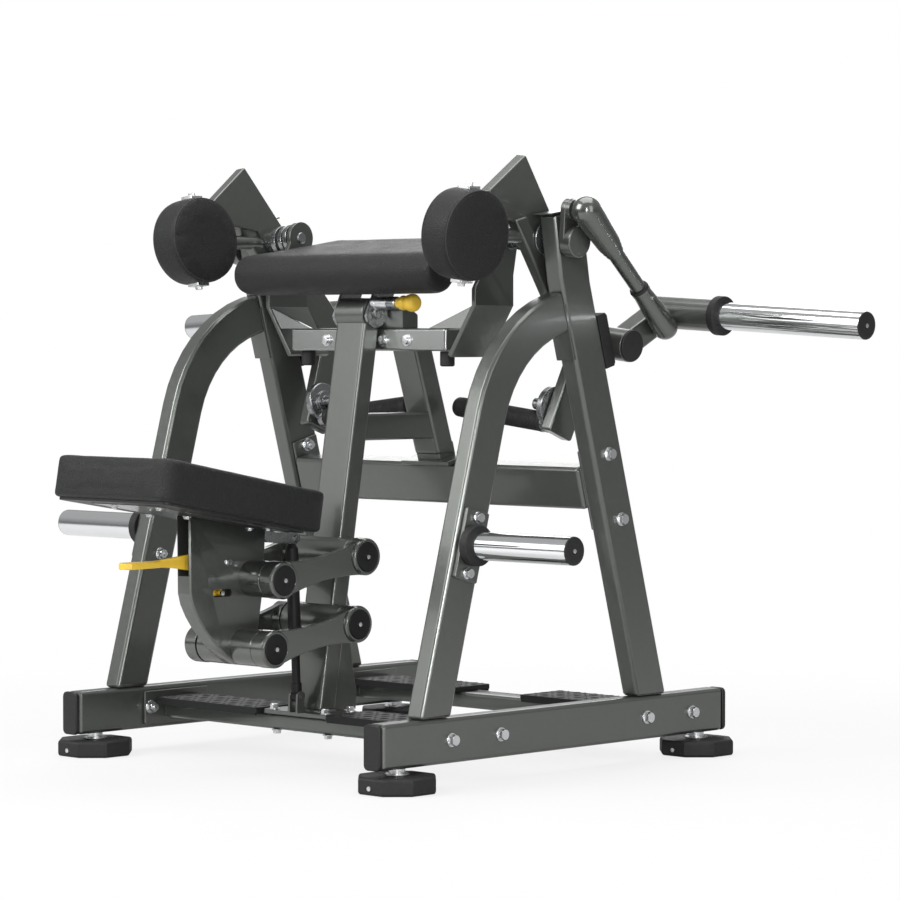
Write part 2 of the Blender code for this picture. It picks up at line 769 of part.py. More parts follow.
def centre_frame(root, finishes):
    """Front column, head, rear column and tie, welded on the column's base plate.

    The head's bore carries the arm pad, and the two hubs lower down carry the seat links.
    """
    base_top = CROSS_TOP + CLEAR + COLUMN_BASE_THICK
    base = block(
        (-COLUMN_BASE_WIDTH / 2, FRONT_CROSS_Y - COLUMN_BASE_DEPTH / 2, CROSS_TOP + CLEAR),
        (COLUMN_BASE_WIDTH / 2, FRONT_CROSS_Y + COLUMN_BASE_DEPTH / 2, base_top),
        0.003,
        1,
    )
    column = upright(
        column_line, base_top - SINK, HEAD_Z, COLUMN_DEPTH / 2, COLUMN_WIDTH / 2
    )
    head = shape(
        rod(HEAD_RADIUS, -COLUMN_WIDTH / 2 + 0.001, COLUMN_WIDTH / 2 - 0.001, 0.003),
        Matrix.Translation((0, HEAD_Y, HEAD_Z)),
    )
    knee = 0.31
    gusset_outline = [
        (column_line(0.012, base_top), base_top - SINK),
        (column_line(COLUMN_DEPTH / 2 + 0.055, base_top), base_top - SINK),
        (column_line(COLUMN_DEPTH / 2 + 0.052, base_top + 0.03), base_top + 0.03),
        (column_line(0.012, knee), knee),
    ]
    gussets = [
        shape(prism(gusset_outline, side * 0.030 - 0.003, side * 0.030 + 0.003))
        for side in (1, -1)
    ]
    beam_y, beam_z = upper_beam_centre()
    stand = beam_z + UPPER_BEAM_HEIGHT / 2 + 0.008
    rear = upright(
        rear_column_line, stand, REAR_COLUMN_TOP_Z, REAR_COLUMN_DEPTH / 2, REAR_COLUMN_WIDTH / 2
    )
    saddle = slanted_box(
        np.array([beam_y, beam_z]) + (UPPER_BEAM_HEIGHT / 2 + CLEAR + 0.004) * direction(REAR_LEG_LEAN),
        REAR_LEG_LEAN,
        UPPER_BEAM_DEPTH + 0.030,
        0.008,
        -0.062,
        0.062,
    )
    saddle_reach = np.array([beam_y, beam_z]) + (UPPER_BEAM_HEIGHT / 2 + 0.02) * direction(REAR_LEG_LEAN)
    heel = slanted_box(
        saddle_reach, REAR_LEG_LEAN, REAR_COLUMN_DEPTH, 0.030, -REAR_COLUMN_WIDTH / 2, REAR_COLUMN_WIDTH / 2
    )
    tie = block(
        (-TIE_WIDTH / 2, column_line(0, TIE_Z), TIE_Z - TIE_HEIGHT / 2),
        (TIE_WIDTH / 2, rear_column_line(0, TIE_Z), TIE_Z + TIE_HEIGHT / 2),
        0.004,
    )
    neck = block(
        (-TIE_WIDTH / 2, YOKE_Y + YOKE_DEPTH / 2 + CLEAR, YOKE_BOTTOM + 0.002),
        (TIE_WIDTH / 2, rear_column_line(0, REAR_COLUMN_TOP_Z), REAR_COLUMN_TOP_Z - 0.002),
        0.004,
    )
    pieces = [column, base, head, rear, heel, saddle, tie, neck] + gussets + gas_clevis()
    for y, z in seat_rear_pivots():
        pieces.append(seat_hub(y, z))
    frame = weld(pieces)
    bores = [cross_bore(y, z, AXLE_RADIUS + RUN, 0.12) for y, z in seat_rear_pivots()]
    cut(frame, cross_bore(HEAD_Y, HEAD_Z, HEAD_BORE + RUN, 0.06), *bores)
    name_piece(frame, "centre_frame", finishes["paint"], root)


def panel_outline():
    """The upright part of a yoke panel: a strip that narrows to a round lug."""
    lug = (ELBOW_Y, lug_height())
    points = [(PANEL_FRONT, PANEL_FOLD_Z - SINK), (PANEL_BACK, PANEL_FOLD_Z - SINK)]
    points.append((PANEL_BACK, PANEL_FOLD_Z + 0.055))
    points += arc(lug, LUG_RADIUS, -20, 200, 10)
    points.append((PANEL_FRONT, PANEL_FOLD_Z + 0.030))
    return points


def lug_across():
    """Distance along the elbow axis at which it crosses the middle of the yoke panel."""
    return (PANEL_X - ELBOW_X) / math.cos(math.radians(ELBOW_TILT))


def lug_height():
    """Height of the elbow axis where it crosses the yoke panel."""
    return ELBOW_Z + (ELBOW_X - PANEL_X) * math.tan(math.radians(ELBOW_TILT))


def arm_yoke(root, finishes):
    """Cross bar behind the column head, with a bent panel and gussets at each end."""
    bar = block(
        (-YOKE_HALF, YOKE_Y - YOKE_DEPTH / 2, YOKE_BOTTOM),
        (YOKE_HALF, YOKE_Y + YOKE_DEPTH / 2, YOKE_TOP),
        0.004,
    )
    parts = [bar]
    half = PANEL_THICK / 2
    slope = np.array([PANEL_X - PANEL_LOW_X, PANEL_FOLD_Z - PANEL_LOW_Z])
    slope /= np.linalg.norm(slope)
    out = np.array([slope[1], -slope[0]]) * half
    low = np.array([PANEL_LOW_X, PANEL_LOW_Z])
    fold = np.array([PANEL_X, PANEL_FOLD_Z])
    flare = [tuple(low - out), tuple(low + out), (PANEL_X + half, PANEL_FOLD_Z), (PANEL_X - half, PANEL_FOLD_Z)]
    bar_end_y = YOKE_Y - YOKE_DEPTH / 2
    rib_foot = YOKE_HALF - 0.052
    rib = [(rib_foot, YOKE_TOP - SINK), (low[0] + 0.03, YOKE_TOP - SINK), tuple(fold - out - (0.002, 0.004))]
    for side in (1, -1):
        upright_panel = shape(prism(panel_outline(), PANEL_X - half, PANEL_X + half))
        flared = shape(prism(flare, PANEL_FRONT, PANEL_BACK, "XZ"))
        gusset = shape(prism(rib, bar_end_y + 0.006, bar_end_y + 0.012, "XZ"))
        joined = weld([upright_panel, flared, gusset])
        cut(joined, shaft_hole(lug_across() - PANEL_THICK * 3, lug_across() + PANEL_THICK * 3))
        parts.append(sided(joined, side))
    name_piece(weld(parts), "arm_yoke", finishes["paint"], root)


def yoke_buffer(side, root, finishes):
    """A small rubber buffer under the outer end of the yoke bar."""
    top = YOKE_BOTTOM - CLEAR
    x = side * (YOKE_HALF - 0.022)
    made = shape(
        rod(BUFFER_RADIUS, 0, BUFFER_LENGTH, 0.002, 16), aim((0, 0, -1), (x, YOKE_Y + 0.004, top))
    )
    name_piece(made, f"yoke_buffer_{SIDE_NAMES[side]}", finishes["rubber"], root)


def arm_to_side(across, along):
    """A point given across and along the arm plate, as (Y, Z) in the arm's frame."""
    up = direction(PLATE_LEAN)
    return tuple(across * normal_of(up) + along * up)


def arm_plate_outline():
    step = PLATE_FRONT - BAR_REAR
    corners = [
        (-PLATE_FRONT, PLATE_UP),
        (PLATE_REAR, PLATE_UP),
        (PLATE_REAR, -PLATE_DOWN),
        (-BAR_REAR, -PLATE_DOWN),
        (-BAR_REAR, BAR_UP - step * 0.6),
        (-PLATE_FRONT, BAR_UP + step * 0.4),
    ]
    return [arm_to_side(*c) for c in corners]


def lever_outline():
    """The round-knee lever: a bar beside the plate, then a wide flat down to the grip."""
    knee = np.array(arm_to_side(-BAR_FRONT, -PLATE_DOWN))
    down = -direction(-LEVER_LEAN)
    back = np.array([-down[1], down[0]])
    low_front = knee + LEVER_LENGTH * down
    low_rear = low_front + LEVER_WIDTH * back
    high_rear = low_rear - (LEVER_LENGTH + 0.004) * down
    return [
        arm_to_side(-BAR_FRONT, BAR_UP),
        tuple(knee),
        tuple(low_front),
        tuple(low_rear),
        tuple(high_rear),
        arm_to_side(-BAR_REAR + SINK * 2, -PLATE_DOWN + 0.012),
        arm_to_side(-BAR_REAR + SINK * 2, BAR_UP - 0.012),
    ]


def horn_step():
    """Direction of the weight horn in the arm's frame."""
    rise = math.radians(ELBOW_TILT - HORN_DROP)
    return Vector((math.cos(rise), 0, math.sin(rise)))


def horn_matrix():
    return aim(horn_step(), (HORN_TUBE_X, HORN_TUBE_Y, HORN_TUBE_Z))


def weight_arm_outline():
    """The tube from the cross tube up to the horn tube, as a rounded slanted strip."""
    start = np.array([CROSS_TUBE_Y, CROSS_TUBE_Z])
    end = np.array([HORN_TUBE_Y, HORN_TUBE_Z])
    along = (end - start) / np.linalg.norm(end - start)
    side = np.array([-along[1], along[0]]) * WEIGHT_ARM_HEIGHT / 2
    return [tuple(start - side), tuple(end - side), tuple(end + side), tuple(start + side)]


def pad_strap():
    """Core plate of the round pad, with a bolting flat above and below it and a stem."""
    reach = PAD_RADIUS + CLEAR
    flats = []
    core = block(
        (PAD_MID - PAD_CORE_THICK / 2, PAD_Y - PAD_CORE_HALF, PAD_Z - reach - SINK),
        (PAD_MID + PAD_CORE_THICK / 2, PAD_Y + PAD_CORE_HALF, PAD_Z + reach + SINK),
    )
    for edge in (-1, 1):
        low_z, high_z = sorted((PAD_Z + edge * reach, PAD_Z + edge * (reach + STRAP_THICK)))
        flats.append(
            block(
                (PAD_MID - STRAP_FLAT / 2, PAD_Y - STRAP_WIDTH / 2, low_z),
                (PAD_MID + STRAP_FLAT / 2, PAD_Y + STRAP_WIDTH / 2, high_z),
            )
        )
    bar_y = arm_to_side(-BAR_FRONT, 0)[0] + 0.010
    stem = shape(
        rod(STEM_RADIUS, 0, bar_y - PAD_Y, 0, 16), aim((0, 1, 0), (PAD_MID, PAD_Y, PAD_Z))
    )
    return [core, stem] + flats


def arm_frame(side, arm, finishes):
    """One welded arm: plate, lever, cross tube, weight arm, horn tube and pad stem."""
    plate = soften(
        shape(
            prism(arm_plate_outline(), PLATE_MID - PLATE_THICK / 2, PLATE_MID + PLATE_THICK / 2)
        ),
        0.003,
        1,
    )
    lever = soften(
        shape(prism(lever_outline(), BAR_MID - BAR_THICK / 2, BAR_MID + BAR_THICK / 2)), 0.004
    )
    cross = shape(
        rod(CROSS_TUBE_RADIUS, BAR_MID - BAR_THICK / 2 + 0.002, CROSS_TUBE_END),
        Matrix.Translation((0, CROSS_TUBE_Y, CROSS_TUBE_Z)),
    )
    weight_arm = soften(
        shape(prism(weight_arm_outline(), WEIGHT_ARM_INNER, WEIGHT_ARM_OUTER)), 0.004
    )
    horn_tube = shape(
        rod(HORN_TUBE_RADIUS, HORN_TUBE_START, HORN_TUBE_END, 0.002), horn_matrix()
    )
    spigot = shape(rod(HORN_RADIUS - 0.006, 0, HORN_TUBE_END + 0.04), horn_matrix())
    stud = shape(
        rod(BRACE_STUD_RADIUS, WEIGHT_ARM_OUTER - 0.01, BRACE_X, 0, 16),
        Matrix.Translation((0, BRACE_FOOT_Y, BRACE_FOOT_Z)),
    )
    strap = pad_strap()
    welded = weld([plate, lever, cross, weight_arm, horn_tube, spigot, stud] + strap)
    cut(welded, shape(rod(SHAFT_RADIUS + CLEAR, -0.06, 0.02)))
    hub = (0, SWIVEL_Y, SWIVEL_Z)
    cut(welded, shape(rod(STUB_RADIUS + RUN, -0.04, 0.01), Matrix.Translation(hub)))
    welded.data.transform(arm_frame_matrix(1))
    name_piece(sided(welded, side), f"arm_frame_{SIDE_NAMES[side]}", finishes["paint"], arm)


def ride_arm(piece, side, name, material, arm):
    """Carries a piece from the right arm's frame to the workshop and to its own side."""
    piece.data.transform(arm_frame_matrix(1))
    return name_piece(sided(piece, side), f"{name}_{SIDE_NAMES[side]}", material, arm)


def elbow_shaft(side, arm, finishes):
    """The turned shaft through lug, arm plate and rear leg, with its spacer collars."""
    inner = PLATE_MID - PLATE_THICK / 2 - CLEAR
    outer = PLATE_MID + PLATE_THICK / 2 + CLEAR
    core = SHAFT_RADIUS
    begin = lug_across() + SHAFT_LUG_GAP
    tail = lug_across() - PANEL_THICK / 2 - SHAFT_TAIL
    profile = [(tail, core - 0.003), (tail + 0.001, core - 0.0015), (tail + 0.002, core), (begin, core)]
    stops = [share for share, _ in SHAFT_COLLARS[1:]] + [1]
    for (share, radius), stop in zip(SHAFT_COLLARS, stops):
        profile += [(begin + along * (inner - begin), radius) for along in (share, stop)]
    profile += [
        (inner, core),
        (outer, core),
        (outer, 0.0175),
        (0.0015, 0.0175),
        (0.0015, 0.0315),
        (0.0055, 0.0315),
        (0.0055, core),
        (CRANK_INNER + 0.006, core),
    ]
    ride_arm(shape(turned(profile)), side, "elbow_shaft", finishes["steel"], arm)


def crank(side, arm, finishes):
    """The drop-shaped crank on the shaft's outer end, with its hub and ball stud."""
    tip = np.array([BALL_Y, BALL_Z])
    reach = float(np.linalg.norm(tip))
    heading = math.degrees(math.atan2(tip[1], tip[0]))
    swing = math.degrees(math.acos((CRANK_HUB_RADIUS - BALL_STUD_RADIUS) / reach))
    outline = arc((0, 0), CRANK_HUB_RADIUS, heading + swing, heading - swing + 360, 14)
    outline += arc(tuple(tip), BALL_STUD_RADIUS, heading - swing, heading + swing, 8)
    web = shape(prism(outline, CRANK_INNER, CRANK_INNER + CRANK_THICK))
    hub = shape(
        rod(CRANK_HUB_RADIUS, CRANK_INNER + 0.004, CRANK_INNER + CRANK_HUB_THICK, 0.003)
    )
    stud = shape(
        rod(BALL_STUD_RADIUS - 0.001, CRANK_INNER + 0.002, BRACE_X - BALL_RADIUS - CLEAR),
        Matrix.Translation((0, BALL_Y, BALL_Z)),
    )
    whole = weld([web, hub, stud])
    cut(whole, shape(rod(SHAFT_RADIUS + CLEAR, 0, CRANK_INNER + 0.006 + CLEAR)))
    ride_arm(whole, side, "crank", finishes["paint"], arm)


def brace_rod(side, arm, finishes):
    """The thick tapered socket, thin rod and lower socket, turned in one line."""
    start = Vector((BRACE_X, BALL_Y, BALL_Z))
    end = Vector((BRACE_X, BRACE_FOOT_Y, BRACE_FOOT_Z))
    length = (end - start).length
    radius = BALL_RADIUS
    profile = [(-radius, 0)]
    for degrees in (150, 120, 95, 70):
        turn = math.radians(degrees)
        profile.append((radius * math.cos(turn), radius * math.sin(turn)))
    neck = BRACE_ROD_RADIUS
    profile += [
        (0.10 * length, 0.0225),
        (0.29 * length, 0.0165),
        (0.29 * length, 0.0155),
        (0.35 * length, 0.0150),
        (0.35 * length, neck),
        (0.66 * length, neck),
        (0.66 * length, neck + 0.003),
        (0.68 * length, neck + 0.003),
        (0.68 * length, 0.0145),
        (0.80 * length, 0.0165),
        (0.92 * length, BRACE_FOOT_RADIUS),
    ]
    for degrees in (80, 55, 30):
        turn = math.radians(degrees)
        profile.append(
            (length + BRACE_FOOT_RADIUS * math.cos(turn), BRACE_FOOT_RADIUS * math.sin(turn))
        )
    profile.append((length + BRACE_FOOT_RADIUS, 0))
    brace = shape(turned(profile), aim(end - start, start))
    cut(
        brace,
        shape(
            rod(BRACE_STUD_RADIUS + CLEAR, 0, BRACE_X + CLEAR, 0, 16),
            Matrix.Translation((0, BRACE_FOOT_Y, BRACE_FOOT_Z)),
        ),
    )
    ride_arm(brace, side, "brace_rod", finishes["paint"], arm)


def weight_horn(side, arm, finishes):
    """The chrome sleeve that takes the plates, and its rubber stop ring."""
    begin = HORN_TUBE_END + CLEAR
    ring_end = begin + HORN_RING_THICK
    tip = begin + HORN_LENGTH
    hole = HORN_RADIUS - 0.006 + CLEAR
    ring = shape(rod(HORN_RING_RADIUS, begin, ring_end, 0.003), horn_matrix())
    cut(ring, shape(rod(hole, begin - 0.01, ring_end + 0.01), horn_matrix()))
    ride_arm(ring, side, "horn_ring", finishes["rubber"], arm)
    sleeve = shape(rod(HORN_RADIUS, ring_end + CLEAR, tip, 0.0025), horn_matrix())
    cut(sleeve, shape(rod(hole, begin, HORN_TUBE_END + 0.04 + CLEAR), horn_matrix()))
    ride_arm(sleeve, side, "weight_horn", finishes["chrome"], arm)


def round_pad(side, arm, finishes):
    half = PAD_THICK / 2
    edge = 0.010
    profile = [
        (PAD_MID - half, PAD_RADIUS - edge),
        (PAD_MID - half + 0.003, PAD_RADIUS - 0.003),
        (PAD_MID - half + edge, PAD_RADIUS),
        (PAD_MID + half - edge, PAD_RADIUS),
        (PAD_MID + half - 0.003, PAD_RADIUS - 0.003),
        (PAD_MID + half, PAD_RADIUS - edge),
    ]
    pad = shape(turned(profile, 32), Matrix.Translation((0, PAD_Y, PAD_Z)))
    gap = 0.0006
    slot = block(
        (PAD_MID - PAD_CORE_THICK / 2 - gap, PAD_Y - PAD_CORE_HALF - gap, PAD_Z - PAD_RADIUS * 1.1),
        (PAD_MID + PAD_CORE_THICK / 2 + gap, PAD_Y + PAD_CORE_HALF + gap, PAD_Z + PAD_RADIUS * 1.1),
    )
    stem = shape(
        rod(STEM_RADIUS + gap, -0.015, PAD_RADIUS * 1.2, 0, 16),
        aim((0, 1, 0), (PAD_MID, PAD_Y, PAD_Z)),
    )
    ride_arm(cut(pad, slot, stem), side, "round_pad", finishes["leather"], arm)


def swivel_matrix(side):
    hub = Matrix.Translation((0, SWIVEL_Y, SWIVEL_Z))
    right = arm_frame_matrix(1) @ hub
    if side > 0:
        return right
    at = right.translation
    return Matrix.Translation((-at.x, at.y, at.z)) @ arm_frame_matrix(-1).to_3x3().to_4x4()


def hand_grip(side, grip, finishes):
    """The swivel disc with its spindle stub and offset bar, and the sleeve on the bar."""
    face = BAR_MID - BAR_THICK / 2 - CLEAR
    disc_face = face - SWIVEL_THICK
    at = Matrix.Translation((0, SWIVEL_Y, SWIVEL_Z))
    disc = shape(
        turned(
            [
                (face + 0.018, STUB_RADIUS),
                (face, STUB_RADIUS),
                (face, SWIVEL_RADIUS - 0.002),
                (face - 0.002, SWIVEL_RADIUS),
                (disc_face + 0.003, SWIVEL_RADIUS),
                (disc_face, SWIVEL_RADIUS - 0.003),
                (disc_face, SWIVEL_COLLAR),
                (disc_face - 0.006, SWIVEL_COLLAR),
                (disc_face - 0.006, STUB_RADIUS),
                (disc_face - STUB_LENGTH + 0.002, STUB_RADIUS),
                (disc_face - STUB_LENGTH, STUB_RADIUS - 0.002),
            ]
        ),
        at,
    )
    drop = Matrix.Translation((0, 0, -GRIP_DROP))
    sleeve_start = disc_face - 0.007
    sleeve_end = sleeve_start - GRIP_LENGTH
    bar_end = sleeve_end + GRIP_WALL_END
    bar = shape(rod(GRIP_CORE, bar_end, disc_face + 0.010, 0, 16), at @ drop)
    boss = shape(rod(GRIP_RADIUS, disc_face - 0.0065, disc_face + 0.006, 0, 16), at @ drop)
    hub = weld([disc, bar, boss])
    hub.data.transform(arm_frame_matrix(1))
    name = SIDE_NAMES[side]
    name_piece(sided(hub, side), f"grip_swivel_{name}", finishes["chrome"], grip)
    sleeve = shape(
        turned(
            [
                (sleeve_start, GRIP_RADIUS - 0.002),
                (sleeve_start - 0.002, GRIP_RADIUS),
                (sleeve_end + 0.006, GRIP_RADIUS),
                (sleeve_end + 0.002, GRIP_RADIUS - 0.002),
                (sleeve_end, GRIP_RADIUS - 0.007),
            ]
        ),
        at @ drop,
    )
    cut(sleeve, shape(rod(GRIP_CORE + CLEAR, bar_end - CLEAR, 0.01, 0, 16), at @ drop))
    sleeve.data.transform(arm_frame_matrix(1))
    name_piece(sided(sleeve, side), f"hand_grip_{name}", finishes["rubber"], grip)


def cross_tube_world():
    """The cross tube's centre in the workshop frame, where it meets the stop."""
    x = (BEAM_X - ELBOW_X) / math.cos(math.radians(ELBOW_TILT))
    return arm_frame_matrix(1) @ Vector((x, CROSS_TUBE_Y, CROSS_TUBE_Z))


def arm_stop(side, root, finishes):
    """The rubber block on the rear leg that the cross tube rests against."""
    tube = cross_tube_world()
    up = direction(REAR_LEG_LEAN)
    back = normal_of(up)
    face_y = rear_leg_line(REAR_LEG_DEPTH / 2, tube.z)
    face = np.array([face_y, tube.z])
    centre = np.array([tube.y, tube.z])
    reach = float(np.dot(centre - face, back)) - CROSS_TUBE_RADIUS - STOP_GAP
    tall = STOP_HEIGHT / 2
    outline = []
    for a, b in ((CLEAR, -tall), (reach - 0.004, -tall), (reach, -tall + 0.006),
                 (reach, tall - 0.006), (reach - 0.004, tall), (CLEAR, tall)):
        outline.append(tuple(face + a * back + b * up))
    stop = shape(prism(outline, BEAM_INNER + 0.002, BEAM_OUTER - 0.002))
    cradle = shape(
        rod(CROSS_TUBE_RADIUS + STOP_GAP, -0.09, 0.09),
        Matrix.Translation((0, *(np.array([CROSS_TUBE_Y, CROSS_TUBE_Z])))),
    )
    cradle.data.transform(arm_frame_matrix(1))
    cut(stop, cradle)
    name_piece(sided(stop, side), f"arm_stop_{SIDE_NAMES[side]}", finishes["rubber"], root)


def storage_y():
    """Y of the storage horn: on the front leg's centre line at its height."""
    lean = direction(-FRONT_LEG_LEAN)
    return FRONT_LEG_Y + (STORAGE_Z - BEAM_TOP) * lean[0] / lean[1]


def storage_horn(side, root, finishes):
    """A bolted flange with its horn, and the rubber ring between them."""
    y = storage_y()
    face = BEAM_OUTER + CLEAR
    at = Matrix.Translation((0, y, STORAGE_Z))
    flange = slanted_box(
        (y, STORAGE_Z),
        -FRONT_LEG_LEAN,
        STORAGE_PLATE_WIDTH,
        STORAGE_PLATE,
        face,
        face + STORAGE_PLATE_THICK,
        0.002,
    )
    ring_start = face + STORAGE_PLATE_THICK + CLEAR
    ring_end = ring_start + STORAGE_RING_THICK
    tip = STORAGE_REACH
    core = HORN_RADIUS - 0.006
    stem = shape(rod(core, face + 0.003, ring_end + 0.03), at)
    sleeve = shape(rod(HORN_RADIUS, ring_end + CLEAR, tip, 0.0025), at)
    whole = weld([flange, stem, sleeve])
    ring = shape(rod(HORN_RING_RADIUS, ring_start, ring_end, 0.003), at)
    cut(ring, shape(rod(core + CLEAR, face, ring_end + 0.01), at))
    name = SIDE_NAMES[side]
    name_piece(sided(whole, side), f"storage_horn_{name}", finishes["chrome"], root)
    name_piece(sided(ring, side), f"storage_ring_{name}", finishes["rubber"], root)


def seat_rear_pivots():
    upper = (UPPER_PIVOT_Y, UPPER_PIVOT_Z)
    return [upper, (UPPER_PIVOT_Y + PIVOT_DROP_Y, UPPER_PIVOT_Z + PIVOT_DROP_Z)]


def seat_front_pivots():
    return [(y + LINK_RUN_Y, z + LINK_RUN_Z) for y, z in seat_rear_pivots()]


def dog_bone(rear, front):
    """Side outline of a link: two round eyes with a waist between them."""
    rear, front = np.array(rear), np.array(front)
    along = front - rear
    length = np.linalg.norm(along)
    along = along / length
    side = np.array([-along[1], along[0]])
    steps = np.linspace(0.16, 0.84, 7)
    swell = (EYE_RADIUS - WEB_WAIST) * (2 * steps - 1) ** 2
    widths = WEB_WAIST + swell
    upper = [tuple(rear + s * length * along + w * side) for s, w in zip(steps, widths)]
    lower = [tuple(rear + s * length * along - w * side) for s, w in zip(steps, widths)]
    return upper + lower[::-1]


def seat_link(name, rear, front, body, finishes):
    """Two dog-bone plates with round eyes, joined by the axles that run in the hubs."""
    inner = HUB_HALF + RUN
    outer = inner + EYE_THICK
    parts = []
    for y, z in (rear, front):
        axle = shape(rod(AXLE_RADIUS, -outer + 0.01, outer - 0.01), Matrix.Translation((0, y, z)))
        parts.append(axle)
    for side in (1, -1):
        low_x, high_x = sorted((side * (outer - 0.006), side * (outer - 0.006 - WEB_THICK)))
        web = shape(prism(dog_bone(rear, front), low_x, high_x))
        eyes = []
        for y, z in (rear, front):
            low, high = sorted((side * inner, side * outer))
            eyes.append(shape(rod(EYE_RADIUS, low, high, 0.003), Matrix.Translation((0, y, z))))
        parts.append(weld([soften(web, 0.003, 1)] + eyes))
    name_piece(weld(parts), name, finishes["paint"], body)


def carriage_outline():
    """Side view of the seat carriage: a tapering box whose front curves in to the hub."""
    low_y, low_z = seat_front_pivots()[1]
    front_x = CARRIAGE_FRONT_Y
    knee_z = 0.330
    curve = []
    for s in np.linspace(0, 1, 7):
        sweep = s * s * (3 - 2 * s) * 0.5 + s * 0.5
        y = front_x + (low_y - 0.012 - front_x) * s ** 1.7
        z = knee_z + (low_z - HUB_RADIUS - knee_z) * (0.35 * sweep + 0.65 * s)
        curve.append((y, z))
    inside = SEAT_THICK + CLEAR + SEAT_PLATE_THICK - SINK
    rear = [
        (low_y + 0.026, low_z - 0.014),
        (low_y + 0.040, low_z + 0.040),
        (CARRIAGE_BACK_Y - 0.004, UPPER_PIVOT_Z + LINK_RUN_Z - 0.010),
        (CARRIAGE_BACK_Y, under_seat(CARRIAGE_BACK_Y, inside)),
    ]
    return [(front_x - 0.002, under_seat(front_x, inside))] + curve + rear


def seat_surface(along, down=0.0):
    """A point of the seat in the side view: distance from the front edge, then depth."""
    tilt = math.radians(SEAT_TILT)
    y = SEAT_FRONT_Y + along * math.cos(tilt) - down * math.sin(tilt)
    z = SEAT_FRONT_Z - along * math.sin(tilt) - down * math.cos(tilt)
    return y, z


def under_seat(y, down):
    """Height of the plane that lies a given depth below the seat's top, at a distance Y."""
    start_y, start_z = seat_surface(0, down)
    return start_z - (y - start_y) * math.tan(math.radians(SEAT_TILT))


def seat_matrix(down):
    """Carries (X, distance from the front edge, height) to the tilted seat."""
    y, z = seat_surface(0, down)
    turn = Matrix.Rotation(math.radians(-SEAT_TILT), 4, "X")
    return Matrix.Translation((0, y, z)) @ turn


def seat_carriage(body, finishes):
    """Folded box with the two front hubs, the seat plate and the gas spring's bracket."""
    outline = carriage_outline()
    shell = shape(prism(outline, -CARRIAGE_HALF, CARRIAGE_HALF))
    soften(shell, 0.0025, 1, 50)
    plate_top = SEAT_THICK + CLEAR
    plate = shape(
        prism(
            [
                (-SEAT_PLATE_HALF, 0.045),
                (SEAT_PLATE_HALF, 0.045),
                (SEAT_PLATE_HALF * 0.85, SEAT_LENGTH - 0.040),
                (-SEAT_PLATE_HALF * 0.85, SEAT_LENGTH - 0.040),
            ],
            -SEAT_PLATE_THICK,
            0,
            "XY",
        ),
        seat_matrix(plate_top),
    )
    parts = [shell, plate]
    for y, z in seat_front_pivots():
        parts.append(seat_hub(y, z))
    ears = gas_bracket()
    whole = weld(parts + ears)
    inner = CARRIAGE_HALF - CARRIAGE_WALL
    pocket = shape(prism(release_pocket(), -inner, inner))
    slot = shape(prism(release_slot(), 0, CARRIAGE_HALF * 2))
    bores = [cross_bore(y, z, AXLE_RADIUS + RUN, 0.12) for y, z in seat_front_pivots()]
    pin = shape(
        rod(GAS_PIN_RADIUS, -0.016, 0.016, 0, 16), Matrix.Translation((0, GAS_TOP_Y, GAS_TOP_Z))
    )
    cut(whole, pocket, slot, *bores)
    cut(whole, cross_bore(RELEASE_Y, RELEASE_Z, 0.004 + RUN, 0.03))
    weld([whole, pin])
    name_piece(whole, "seat_carriage", finishes["paint"], body)


def gas_bracket():
    """Two ears under the seat plate that hold the gas spring's upper pin."""
    ears = []
    inside = SEAT_THICK + CLEAR + SEAT_PLATE_THICK - SINK
    near = GAS_TOP_Y - 0.085
    far = GAS_TOP_Y - 0.045
    for side in (1, -1):
        low_x, high_x = sorted((side * (GAS_EYE_WIDTH / 2 + 0.002), side * (GAS_EYE_WIDTH / 2 + 0.002 + CLEVIS_WALL)))
        outline = [
            (near, under_seat(near, inside)),
            (near + 0.010, GAS_TOP_Z - 0.004),
            (GAS_TOP_Y, GAS_TOP_Z - 0.010),
            (GAS_TOP_Y + 0.010, GAS_TOP_Z),
            (GAS_TOP_Y + 0.003, GAS_TOP_Z + 0.010),
            (far, under_seat(far, inside)),
        ]
        ears.append(shape(prism(outline, low_x, high_x)))
    return ears


def release_pocket():
    """Room inside the carriage's front for the release lever, open to the front."""
    return [
        (CARRIAGE_FRONT_Y - 0.05, RELEASE_Z + 0.085),
        (CARRIAGE_FRONT_Y - 0.05, RELEASE_Z - 0.022),
        (RELEASE_Y + SLOT_SET_BACK - 0.034, RELEASE_Z - 0.022),
        (RELEASE_Y + SLOT_SET_BACK - 0.034, RELEASE_Z - SLOT_DROP - 0.014),
        (RELEASE_Y + SLOT_SET_BACK + 0.034, RELEASE_Z - SLOT_DROP - 0.014),
        (RELEASE_Y + 0.020, RELEASE_Z + 0.020),
        (RELEASE_Y + 0.010, RELEASE_Z + 0.085),
    ]


def release_slot():
    """The slot in the carriage's side through which the lever's tail pin shows."""
    middle = (RELEASE_Y + SLOT_SET_BACK, RELEASE_Z - SLOT_DROP)
    half = (SLOT_LENGTH - SLOT_HEIGHT) / 2
    radius = SLOT_HEIGHT / 2
    ends = arc((middle[0] + half, middle[1]), radius, -90, 90, 5)
    ends += arc((middle[0] - half, middle[1]), radius, 90, 270, 5)
    return ends


